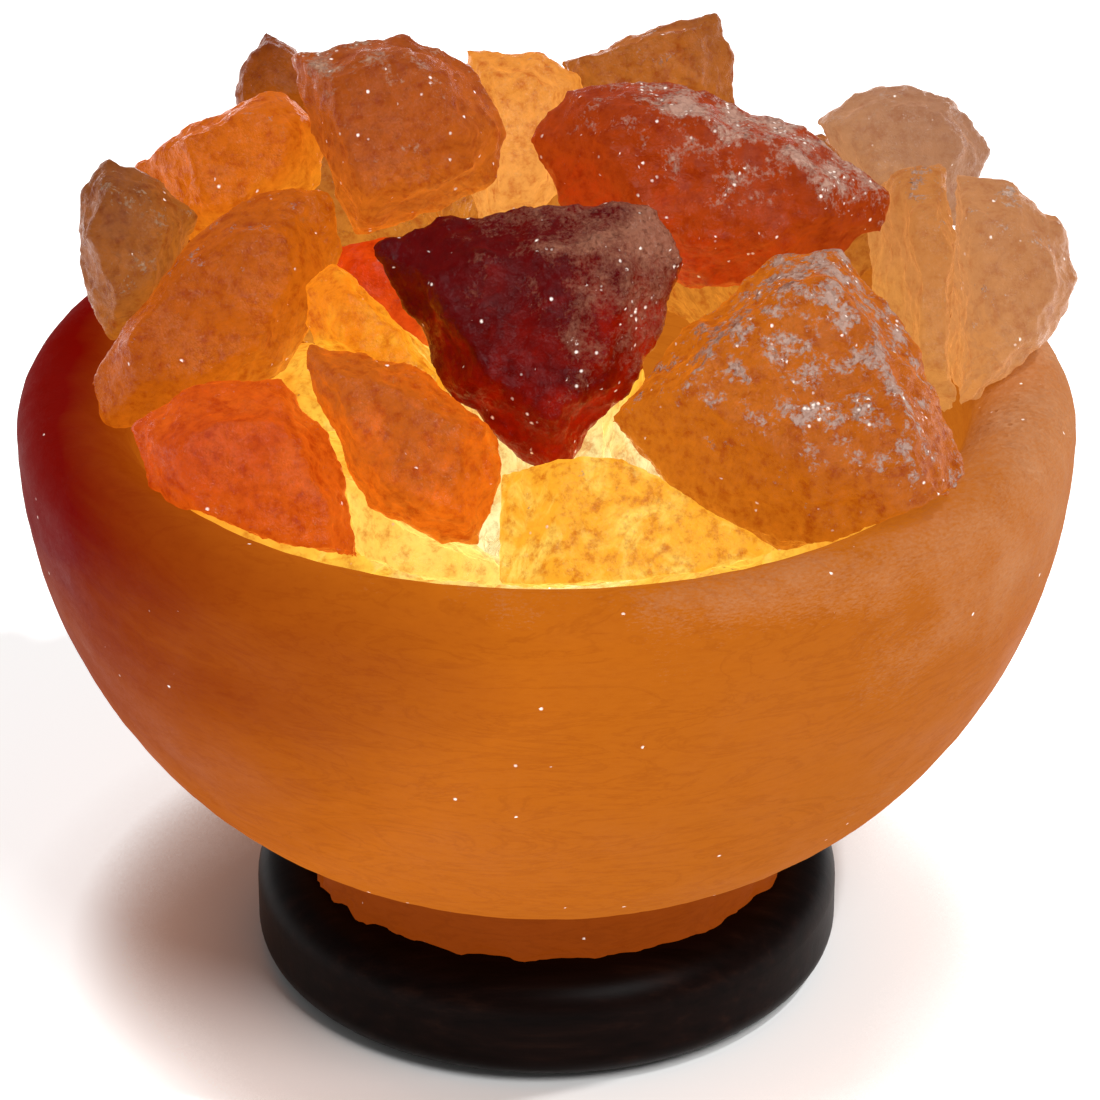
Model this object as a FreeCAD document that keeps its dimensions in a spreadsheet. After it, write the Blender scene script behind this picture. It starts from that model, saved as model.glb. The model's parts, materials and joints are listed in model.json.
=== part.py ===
"""Salt bowl lamp: a turned salt bowl on a wooden base, heaped with broken salt over a bulb.

Millimetres. +Z is up and the viewer stands on the -Y side. The origin is the middle of the
flat on which the felt pads stand.
"""

import FreeCAD, Part
import math
import os

import Sketcher

doc = FreeCAD.newDocument("salt_bowl_lamp")
Vector = FreeCAD.Vector

# ---------------------------------------------------------------- driving dimensions

DIMENSIONS = {
    # wooden base and what is let into it
    "base_radius": 51.4,
    "base_height": 19.5,
    "base_top_round": 7.5,
    "base_foot_round": 4.0,
    "recess_radius": 27.0,
    "recess_depth": 8.7,
    "bore_radius": 21.0,
    "pad_radius": 5.0,
    "pad_thickness": 1.5,
    "pad_ring": 42.0,
    "pad_count": 4,
    "cord_hole_radius": 4.0,
    "cord_hole_height": 4.6,
    # turned salt bowl, heights from the underside of its foot
    "foot_radius": 44.6,
    "foot_taper": 2.4,
    "foot_height": 9.4,
    "bowl_radius": 90.0,
    "belly_height": 83.4,
    "belly_curve": 84.9,
    "hollow_curve": 72.0,
    "shoulder_inset": 21.0,
    "underside_curve": 66.0,
    "bowl_wall": 18.6,
    "lip_round": 8.1,
    "lip_fall": 11.4,
    "lip_edge": 2.3,
    "floor_height": 27.0,
    # screws that hold the bowl on the base
    "screw_count": 3,
    "screw_ring": 34.0,
    "screw_shank_radius": 2.0,
    "screw_head_radius": 3.9,
    "screw_head_height": 2.4,
    "screw_sink": 3.4,
    "screw_length": 26.0,
    "screw_tip": 4.0,
    # cord bush in the back of the base
    "bush_bore": 3.0,
    "bush_flange_radius": 5.3,
    "bush_flange": 1.6,
    "bush_length": 12.0,
    # lamp holder
    "plate_radius": 24.0,
    "plate_thickness": 1.5,
    "cap_radius": 15.0,
    "cap_height": 6.2,
    "cap_wall": 2.0,
    "holder_radius": 14.0,
    "holder_height": 34.5,
    "holder_floor": 4.0,
    "holder_chamfer": 1.0,
    "holder_shoulder": 2.0,
    "insert_step": 1.4,
    "insert_radius": 8.8,
    "insert_height": 7.0,
    "insert_skin": 1.0,
    "shell_bore": 7.15,
    "shell_wall": 0.4,
    "shell_height": 22.0,
    "shell_foot": 1.6,
    "shell_flare": 0.5,
    "terminal_count": 2,
    "terminal_spacing": 9.6,
    "terminal_shank": 1.0,
    "terminal_head": 1.8,
    "terminal_head_height": 1.3,
    "tongue_width": 4.0,
    "tongue_metal": 0.5,
    "tongue_reach": 3.6,
    "tongue_rise": 4.2,
    "clip_width": 9.0,
    "clip_metal": 0.6,
    "clip_start": 2.0,
    "clip_foot": 9.0,
    "clip_bend": 22.0,
    "clip_tip": 31.0,
    "clip_clearance": 0.15,
    # bulb
    "contact_radius": 1.6,
    "contact_height": 1.2,
    "insulator_radius": 6.1,
    "insulator_height": 2.6,
    "cap_turn_in": 1.0,
    "bulb_cap_radius": 6.8,
    "bulb_cap_metal": 0.4,
    "bulb_cap_height": 15.0,
    "neck_radius": 5.9,
    "neck_depth": 5.0,
    "neck_rise": 3.0,
    "globe_radius": 13.0,
    "globe_height": 38.0,
    "globe_flank": 30.0,
    "glass_wall": 0.7,
    "stem_radius": 1.5,
    "stem_height": 16.0,
    "wire_radius": 0.25,
    "wire_spread": 5.0,
    "wire_rise": 9.0,
    "filament_radius": 0.35,
    # light chamber kept open round the bulb, and the stones about it
    "chamber_radius": 21.0,
    "chamber_height": 48.0,
    "chamber_shoulder": 38.4,
    "chamber_crown": 10.5,
    "bed_count": 7,
    "bed_ring": 45.0,
    "bed_width": 41.0,
    "bed_depth": 27.0,
    "bed_headroom": 7.0,
    "bed_unevenness": 3.0,
    "hollow_sides": 16,
    "drawn_opening": 71.4,
    # clearances
    "fit_gap": 0.1,
    "seat_gap": 0.3,
    "stone_gap": 0.3,
}

sheet = doc.addObject("Spreadsheet::Sheet", "Sheet")
for row, (alias, number) in enumerate(DIMENSIONS.items(), start=1):
    sheet.set(f"A{row}", alias)
    sheet.set(f"B{row}", str(number))
    sheet.setAlias(f"B{row}", alias)
doc.recompute()


class Size:
    """A length: its number now, and the sheet formula that keeps it true."""

    def __init__(self, number, formula=None):
        self.number = number
        self.formula = formula or str(number)

    def join(self, other, sign, number):
        other = other if isinstance(other, Size) else Size(other)
        return Size(number(self.number, other.number), f"({self.formula} {sign} {other.formula})")

    def __add__(self, other):
        return self.join(other, "+", lambda a, b: a + b)

    def __sub__(self, other):
        return self.join(other, "-", lambda a, b: a - b)

    def __mul__(self, other):
        return self.join(other, "*", lambda a, b: a * b)

    def __truediv__(self, other):
        return self.join(other, "/", lambda a, b: a / b)

    def __neg__(self):
        return Size(-self.number, f"(0 - {self.formula})")

    def root(self):
        return Size(math.sqrt(self.number), f"sqrt({self.formula})")


def size(alias):
    return Size(float(sheet.get(alias)), f"Sheet.{alias}")


NONE = Size(0.0)
gap = size("seat_gap")
fit = size("fit_gap")
SCREW_ANGLE = 30
PAD_ANGLE = 45
TERMINAL_ANGLE = 90

# ---------------------------------------------------------------- modelling helpers


def bind(thing, name, length):
    """Ties one property of an object to the sheet."""
    thing.setExpression(name, length.formula)


def new_body(label, height=NONE):
    """A sub-part, drawn from its own seat and stood at its height in the lamp."""
    body = doc.addObject("PartDesign::Body", label)
    body.Label = label
    body.Placement = FreeCAD.Placement(Vector(0, 0, height.number), FreeCAD.Rotation())
    bind(body, "Placement.Base.z", height)
    return body


def new_sketch(body, role, name, lift=NONE):
    """A sketch on one of the body's own origin planes, raised along that plane's normal."""
    sketch = body.newObject("Sketcher::SketchObject", name)
    plane = [f for f in body.Origin.OriginFeatures if f.Role == role][0]
    sketch.AttachmentSupport = [(plane, "")]
    sketch.MapMode = "FlatFace"
    if lift is not NONE:
        bind(sketch, "AttachmentOffset.Base.z", lift)
    return sketch


def pin_length(sketch, length, *what):
    """Adds a dimension to the sketch and ties it to the sheet."""
    index = sketch.addConstraint(Sketcher.Constraint(*what, length.number))
    sketch.setExpression(f"Constraints[{index}]", length.formula)


class Arc:
    """A round stretch of an outline, bulging to the left (+1) or right (-1) of its run."""

    def __init__(self, radius, side):
        self.radius = radius
        self.side = side

    def middle(self, start, end):
        chord = end - start
        half = chord.Length / 2
        rise = self.radius.number - math.sqrt(self.radius.number**2 - half**2)
        left = Vector(-chord.y, chord.x, 0).normalize()
        return (start + end) / 2 + left * rise * self.side


def draw_outline(sketch, path):
    """Draws a closed outline of (across, up) corners, with an Arc between two where it is round."""
    corners = [step for step in path if not isinstance(step, Arc)]
    arcs = {}
    for index, step in enumerate(path):
        if isinstance(step, Arc):
            arcs[len([s for s in path[:index] if not isinstance(s, Arc)]) - 1] = step
    spots = [Vector(across.number, up.number, 0) for across, up in corners]
    runs = []
    for index, start in enumerate(spots):
        end = spots[(index + 1) % len(spots)]
        if index in arcs:
            piece = Part.Arc(start, arcs[index].middle(start, end), end)
        else:
            piece = Part.LineSegment(start, end)
        geometry = sketch.addGeometry(piece, False)
        first = 1 if (sketch.getPoint(geometry, 1) - start).Length < 1e-6 else 2
        runs.append((geometry, first, 3 - first))
    for index, (across, up) in enumerate(corners):
        geometry, first, _ = runs[index]
        before, _, last = runs[index - 1]
        sketch.addConstraint(Sketcher.Constraint("Coincident", before, last, geometry, first))
        pin_length(sketch, across, "DistanceX", -1, 1, geometry, first)
        pin_length(sketch, up, "DistanceY", -1, 1, geometry, first)
    for index, arc in arcs.items():
        pin_length(sketch, arc.radius, "Radius", runs[index][0])


def revolve(body, path, name="turning"):
    """Turns an outline of (radius, height) corners once round the upright axis."""
    sketch = new_sketch(body, "XZ_Plane", f"{body.Label}_{name}_outline")
    draw_outline(sketch, path)
    doc.recompute()
    turning = body.newObject("PartDesign::Revolution", f"{body.Label}_{name}")
    turning.Profile = sketch
    turning.ReferenceAxis = (sketch, ["V_Axis"])
    turning.Angle = 360
    doc.recompute()
    return turning


def drill(body, name, radius, depth, ring, count, first_angle, height, upward=True):
    """Bores round holes, count of them evenly round a ring, up or down from a height."""
    sketch = new_sketch(body, "XY_Plane", f"{body.Label}_{name}_outline", height)
    angle = math.radians(first_angle)
    at_x = ring * math.cos(angle)
    at_y = ring * math.sin(angle)
    circle = sketch.addGeometry(
        Part.Circle(Vector(at_x.number, at_y.number, 0), Vector(0, 0, 1), radius.number), False
    )
    pin_length(sketch, at_x, "DistanceX", -1, 1, circle, 3)
    pin_length(sketch, at_y, "DistanceY", -1, 1, circle, 3)
    pin_length(sketch, radius, "Radius", circle)
    doc.recompute()
    hole = body.newObject("PartDesign::Pocket", f"{body.Label}_{name}")
    hole.Profile = sketch
    hole.Reversed = upward
    bind(hole, "Length", depth)
    doc.recompute()
    if count.number > 1:
        pattern = body.newObject("PartDesign::PolarPattern", f"{body.Label}_{name}_pattern")
        pattern.Originals = [hole]
        pattern.Axis = (sketch, ["N_Axis"])
        pattern.Angle = 360
        bind(pattern, "Occurrences", count)
        body.Tip = pattern
        doc.recompute()


def turned(label, height, path):
    """A sub-part that is one turned shape."""
    body = new_body(label, height)
    revolve(body, path)
    return body


def ring_of(label, solid, ring, count, first_angle, height):
    """A group of like pieces, evenly round the axis, in one node."""
    solid.Placement = FreeCAD.Placement(Vector(0, 0, 0), FreeCAD.Rotation())
    angle = math.radians(first_angle)
    bind(solid, "Placement.Base.x", ring * math.cos(angle))
    bind(solid, "Placement.Base.y", ring * math.sin(angle))
    doc.recompute()
    copies = []
    total = int(count.number)
    for index in range(total):
        copy = solid.Shape.copy()
        copy.rotate(Vector(0, 0, 0), Vector(0, 0, 1), 360 * index / total)
        copies.append(copy)
    group = doc.addObject("Part::Feature", label)
    group.Label = label
    group.Shape = Part.makeCompound(copies)
    group.Placement = FreeCAD.Placement(Vector(0, 0, height.number), FreeCAD.Rotation())
    return group


# ---------------------------------------------------------------- heights in the lamp

base_bottom = size("pad_thickness")
bowl_seat = base_bottom + size("base_height")
recess_ceiling = base_bottom + size("recess_depth")
belly_z = bowl_seat + size("belly_height")
floor_z = bowl_seat + size("floor_height")
lip_top_z = belly_z + size("lip_round")
lip_edge_z = belly_z + size("lip_edge")
opening_radius = size("bowl_radius") - size("bowl_wall")
plate_z = recess_ceiling - gap - size("plate_thickness")
holder_z = plate_z + size("plate_thickness")
insert_z = holder_z + size("holder_floor")
shell_z = insert_z + size("insert_height")
tongue_top_z = shell_z + size("tongue_rise")
contact_z = tongue_top_z + gap
insulator_z = contact_z + size("contact_height")
bulb_cap_z = insulator_z + size("insulator_height")

# ---------------------------------------------------------------- wooden base


def make_base():
    """Turned hardwood disc with round sides, bored for the holder and let in underneath."""
    body = new_body("wood_base", base_bottom)
    radius = size("base_radius")
    top = size("base_height")
    top_round = size("base_top_round")
    foot_round = size("base_foot_round")
    bore = size("bore_radius")
    recess = size("recess_radius")
    deep = size("recess_depth")
    revolve(
        body,
        [
            (recess, NONE),
            (radius - foot_round, NONE),
            Arc(foot_round * 1.25, -1),
            (radius, foot_round * 1.2),
            (radius, top - top_round),
            Arc(top_round, -1),
            (radius - top_round, top),
            (bore, top),
            (bore, deep),
            (recess, deep),
        ],
    )
    cord_hole(body)
    ring = size("screw_ring")
    count = size("screw_count")
    shank = size("screw_shank_radius") + fit
    drill(body, "screw_hole", shank, top, ring, count, SCREW_ANGLE, NONE)
    head = size("screw_head_radius") + gap
    drill(body, "screw_sink", head, size("screw_sink"), ring, count, SCREW_ANGLE, NONE)
    return body


def cord_hole(body):
    """Bores the cord's way in from the back of the base to the recess under the holder."""
    sketch = new_sketch(body, "XZ_Plane", "cord_hole_outline")
    radius = size("cord_hole_radius")
    circle = sketch.addGeometry(
        Part.Circle(Vector(0, size("cord_hole_height").number, 0), Vector(0, 0, 1), radius.number),
        False,
    )
    pin_length(sketch, NONE, "DistanceX", -1, 1, circle, 3)
    pin_length(sketch, size("cord_hole_height"), "DistanceY", -1, 1, circle, 3)
    pin_length(sketch, radius, "Radius", circle)
    doc.recompute()
    hole = body.newObject("PartDesign::Pocket", "cord_hole")
    hole.Profile = sketch
    bind(hole, "Length", size("base_radius") + gap)
    doc.recompute()
    return hole


def make_pads():
    """Felt discs that the base stands on."""
    pad = doc.addObject("Part::Cylinder", "felt_pad_pattern")
    bind(pad, "Radius", size("pad_radius"))
    bind(pad, "Height", size("pad_thickness"))
    return ring_of("felt_pads", pad, size("pad_ring"), size("pad_count"), PAD_ANGLE, NONE)


def make_base_screws():
    """Countersunk screws up through the base into the foot of the bowl."""
    screw = new_body("base_screw_pattern")
    shank = size("screw_shank_radius")
    head = size("screw_head_radius")
    revolve(
        screw,
        [
            (NONE, NONE),
            (head, NONE),
            (head, size("screw_head_height") / 3),
            (shank, size("screw_head_height")),
            (shank, size("screw_length") - size("screw_tip")),
            (NONE, size("screw_length")),
        ],
    )
    seat = base_bottom + size("screw_sink") - size("screw_head_height") - fit
    return ring_of(
        "base_screws", screw, size("screw_ring"), size("screw_count"), SCREW_ANGLE, seat
    )


def make_cord_bush():
    """Flanged bush in the cord hole, bare because no cord leaves the base."""
    body = new_body("cord_bush", base_bottom + size("cord_hole_height"))
    outer = size("cord_hole_radius") - fit
    flange = size("bush_flange")
    revolve(
        body,
        [
            (size("bush_bore"), NONE),
            (size("bush_flange_radius") - flange / 2, NONE),
            (size("bush_flange_radius"), flange / 2),
            (size("bush_flange_radius"), flange),
            (outer, flange),
            (outer, size("bush_length")),
            (size("bush_bore"), size("bush_length")),
        ],
    )
    back = size("base_radius") + fit + flange
    body.Placement.Rotation = FreeCAD.Rotation(Vector(1, 0, 0), 90)
    bind(body, "Placement.Base.y", back)
    return body


# ---------------------------------------------------------------- salt bowl


def hollow_radius(height):
    """Radius of the bowl's hollow at a height above its foot."""
    curve = size("hollow_curve")
    below = size("belly_height") - height
    centre = size("bowl_radius") - size("bowl_wall") - curve
    return centre + (curve * curve - below * below).root()


def make_bowl():
    """Turned salt: short foot, round belly, thick rolled lip and a bored floor."""
    body = new_body("salt_bowl", bowl_seat)
    radius = size("bowl_radius")
    wall = size("bowl_wall")
    belly = size("belly_height")
    round_lip = size("lip_round")
    foot_top = size("foot_radius") - size("foot_taper")
    floor = size("floor_height")
    bore = size("bore_radius")
    shoulder = radius - size("shoulder_inset")
    curve = size("belly_curve")
    reach = curve - size("shoulder_inset")
    shoulder_height = belly - (curve * curve - reach * reach).root()
    revolve(
        body,
        [
            (bore, NONE),
            (size("foot_radius"), NONE),
            (foot_top, size("foot_height")),
            Arc(size("underside_curve"), -1),
            (shoulder, shoulder_height),
            Arc(curve, -1),
            (radius, belly),
            Arc(round_lip, -1),
            (radius - round_lip, belly + round_lip),
            Arc(size("lip_fall"), -1),
            (radius - wall, belly + size("lip_edge")),
            (radius - wall, belly),
            Arc(size("hollow_curve"), 1),
            (hollow_radius(floor), floor),
            (bore, floor),
        ],
    )
    pilot = size("screw_shank_radius") + fit
    depth = size("screw_length") + size("screw_sink") - size("base_height")
    drill(body, "pilot_hole", pilot, depth, size("screw_ring"), size("screw_count"), SCREW_ANGLE, NONE)
    return body


# ---------------------------------------------------------------- lamp holder


def make_holder():
    """The holder that plugs up into the bore, from its plate to its spring clips."""
    body_radius = size("holder_radius")
    cap = size("cap_radius")
    plate_hole = size("cap_radius") - size("cap_wall") * 2
    turned(
        "holder_plate",
        plate_z,
        [
            (plate_hole, NONE),
            (size("plate_radius"), NONE),
            (size("plate_radius"), size("plate_thickness")),
            (plate_hole, size("plate_thickness")),
        ],
    )
    make_holder_cap(cap)
    step = size("insert_step")
    cavity = size("insert_radius") + fit
    height = size("holder_height")
    chamfer = size("holder_chamfer")
    shoulder = size("holder_shoulder")
    turned(
        "holder_body",
        holder_z,
        [
            (body_radius - chamfer, NONE),
            (body_radius, chamfer),
            (body_radius, height - shoulder),
            (body_radius - shoulder, height),
            (cavity, height),
            (cavity, size("holder_floor")),
            (cavity - step, size("holder_floor")),
            (cavity - step, NONE),
        ],
    )
    make_insert()
    make_shell()
    make_tongue()
    make_terminal_screws()
    make_clip("spring_clip_left", 180)
    make_clip("spring_clip_right", 0)


def make_holder_cap(cap):
    """Moulded cup under the plate, open towards the bush for the cord."""
    wall = size("cap_wall")
    height = size("cap_height")
    body = new_body("holder_cap", plate_z - height)
    revolve(
        body,
        [
            (NONE, NONE),
            (cap - wall, NONE),
            (cap, wall),
            (cap, height),
            (cap - wall, height),
            (cap - wall, wall),
            (NONE, wall),
        ],
    )
    sketch = new_sketch(body, "XZ_Plane", "cord_entry_outline")
    middle = base_bottom + size("cord_hole_height") - plate_z + height
    circle = sketch.addGeometry(
        Part.Circle(Vector(0, middle.number, 0), Vector(0, 0, 1), size("bush_bore").number / 2),
        False,
    )
    pin_length(sketch, NONE, "DistanceX", -1, 1, circle, 3)
    pin_length(sketch, middle + fit, "DistanceY", -1, 1, circle, 3)
    pin_length(sketch, size("bush_bore") / 2, "Radius", circle)
    doc.recompute()
    entry = body.newObject("PartDesign::Pocket", "cord_entry")
    entry.Profile = sketch
    bind(entry, "Length", cap + gap)
    doc.recompute()
    return body


def make_insert():
    """Ceramic insert that carries the contacts, on the step inside the holder."""
    body = turned(
        "holder_insert",
        insert_z,
        [
            (NONE, NONE),
            (size("insert_radius"), NONE),
            (size("insert_radius"), size("insert_height")),
            (NONE, size("insert_height")),
        ],
    )
    hole = size("terminal_shank") + fit
    depth = size("insert_height") - size("insert_skin")
    ring = size("terminal_spacing") / 2
    drill(body, "terminal_hole", hole, depth, ring, size("terminal_count"), TERMINAL_ANGLE, NONE)


def make_shell():
    """Brass shell that takes the bulb's cap, standing on the insert by its turned-in foot."""
    bore = size("shell_bore")
    wall = size("shell_wall")
    height = size("shell_height")
    foot = size("shell_foot")
    flare = size("shell_flare")
    turned(
        "holder_shell",
        shell_z,
        [
            (bore - foot, NONE),
            (bore + wall, NONE),
            (bore + wall, height - wall * 2),
            (bore + wall + flare, height),
            (bore + flare, height),
            (bore, height - wall * 2),
            (bore, wall),
            (bore - foot, wall),
        ],
    )


def make_tongue():
    """Bent brass spring under the bulb's centre contact."""
    body = new_body("contact_tongue", shell_z)
    sketch = new_sketch(body, "XZ_Plane", "tongue_outline")
    metal = size("tongue_metal")
    reach = size("tongue_reach")
    rise = size("tongue_rise")
    draw_outline(
        sketch,
        [
            (-reach, NONE),
            (reach + metal, NONE),
            (reach + metal, rise - metal * 2),
            (metal * 2, rise),
            (-metal * 2, rise),
            (-metal * 2, rise - metal),
            (metal, rise - metal),
            (reach, rise - metal * 3),
            (reach, metal),
            (-reach, metal),
        ],
    )
    doc.recompute()
    strip = body.newObject("PartDesign::Pad", "tongue_strip")
    strip.Profile = sketch
    strip.Midplane = True
    bind(strip, "Length", size("tongue_width"))
    doc.recompute()


def make_terminal_screws():
    """The two screws that clamp the wires under the insert."""
    screw = new_body("terminal_screw_pattern")
    shank = size("terminal_shank")
    head = size("terminal_head")
    head_height = size("terminal_head_height")
    top = head_height + size("insert_height") - size("insert_skin") * 2
    revolve(
        screw,
        [
            (NONE, NONE),
            (head, NONE),
            (head, head_height),
            (shank, head_height),
            (shank, top),
            (NONE, top),
        ],
    )
    ring = size("terminal_spacing") / 2
    seat = insert_z - fit - head_height
    ring_of("terminal_screws", screw, ring, size("terminal_count"), TERMINAL_ANGLE, seat)


def make_clip(label, turn):
    """Spring steel strip on the holder's side, bent out to bear on the bore."""
    body = new_body(label, holder_z)
    sketch = new_sketch(body, "XZ_Plane", f"{label}_outline")
    metal = size("clip_metal")
    inner = size("holder_radius") + fit
    width = size("clip_width")
    reach = size("bore_radius") - size("clip_clearance")
    outer = (reach * reach - width * width / 4).root()
    foot = size("clip_foot")
    bend = size("clip_bend")
    tip = size("clip_tip")
    low = size("clip_start")
    draw_outline(
        sketch,
        [
            (inner, low),
            (inner + metal, low),
            (inner + metal, foot),
            (outer, bend - metal),
            (outer, bend + metal),
            (inner + metal * 3, tip),
            (inner + metal * 2, tip),
            (outer - metal, bend),
            (inner, foot),
        ],
    )
    doc.recompute()
    strip = body.newObject("PartDesign::Pad", f"{label}_strip")
    strip.Profile = sketch
    strip.Midplane = True
    bind(strip, "Length", width)
    body.Placement.Rotation = FreeCAD.Rotation(Vector(0, 0, 1), turn)
    doc.recompute()


# ---------------------------------------------------------------- bulb


def make_bulb():
    """Small screw-in bulb: cap, insulator, contact, blown glass, stem, wires and filament."""
    contact = size("contact_radius")
    insulator = size("insulator_radius")
    cap = size("bulb_cap_radius")
    metal = size("bulb_cap_metal")
    cap_height = size("bulb_cap_height")
    lift = size("contact_height")
    turned(
        "bulb_contact",
        contact_z,
        [(NONE, NONE), (contact / 2, NONE), (contact, lift / 2), (contact, lift), (NONE, lift)],
    )
    thick = size("insulator_height")
    turn_in = insulator - size("cap_turn_in")
    turned(
        "bulb_insulator",
        insulator_z + fit,
        [(NONE, NONE), (contact * 2, NONE), (insulator, thick - fit), (NONE, thick - fit)],
    )
    turned(
        "bulb_cap",
        bulb_cap_z,
        [
            (turn_in, fit),
            (cap - metal, fit),
            (cap, metal + fit),
            (cap, cap_height),
            (cap - metal, cap_height),
            (cap - metal, metal * 2),
            (turn_in, metal * 2),
        ],
    )
    make_glass()


def make_glass():
    """Blown envelope with its neck in the cap, and the stem and filament that it holds."""
    wall = size("glass_wall")
    neck = size("neck_radius")
    globe = size("globe_radius")
    depth = size("neck_depth")
    top = depth + size("globe_height")
    middle = top - globe
    neck_top = depth + size("neck_rise")
    glass_z = bulb_cap_z + size("bulb_cap_height") - depth
    flank = size("globe_flank")
    turned(
        "bulb_glass",
        glass_z,
        [
            (neck - wall, NONE),
            (neck, NONE),
            (neck, neck_top),
            Arc(flank, -1),
            (globe, middle),
            Arc(globe, -1),
            (NONE, top),
            (NONE, top - wall),
            Arc(globe - wall, 1),
            (globe - wall, middle),
            Arc(flank - wall, 1),
            (neck - wall, neck_top),
        ],
    )
    stem = size("stem_radius")
    height = size("stem_height")
    turned(
        "bulb_stem",
        glass_z,
        [
            (NONE, NONE),
            (neck - wall - fit, NONE),
            (neck - wall - fit, wall),
            (stem, wall * 3),
            (stem, height),
            (NONE, height),
        ],
    )
    make_filament(glass_z + height + fit)


def make_filament(foot_z):
    """Two support wires that spread from the stem, and the filament's bow between them."""
    start = size("stem_radius") - size("wire_radius") * 2
    spread = size("wire_spread")
    rise = size("wire_rise")
    slant = math.hypot((spread - start).number, rise.number)
    wires = []
    for side in (-1, 1):
        along = Vector((spread - start).number * side, 0, rise.number)
        foot = Vector(start.number * side, 0, 0)
        wires.append(Part.makeCylinder(size("wire_radius").number, slant, foot, along))
    group = doc.addObject("Part::Feature", "bulb_wires")
    group.Label = "bulb_wires"
    group.Shape = Part.makeCompound(wires)
    wire_z = foot_z + size("wire_radius")
    group.Placement = FreeCAD.Placement(Vector(0, 0, wire_z.number), FreeCAD.Rotation())
    bow = doc.addObject("Part::Torus", "bulb_filament")
    bow.Label = "bulb_filament"
    bind(bow, "Radius1", spread)
    bind(bow, "Radius2", size("filament_radius"))
    bow.Angle3 = 180
    height = wire_z + rise + size("wire_radius") + fit
    bow.Placement = FreeCAD.Placement(
        Vector(0, 0, height.number), FreeCAD.Rotation(Vector(1, 0, 0), 90)
    )
    bind(bow, "Placement.Base.z", height)


# ---------------------------------------------------------------- broken salt
#
# A stone is a cleaved block. Its outline is its widest girdle, seen square on, and in front
# of and behind the girdle it tapers to a smaller face. Where two stones meet, both lose the
# thinnest slice that leaves a flat joint between them.

CONE_SIDES = 24
CHAMBER_SIDES = 12
heap_scale = opening_radius.number / size("drawn_opening").number
stone_gap = size("stone_gap").number
FAR = 400.0
LEVEL = 1e-6
STEEP = 0.3

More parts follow.
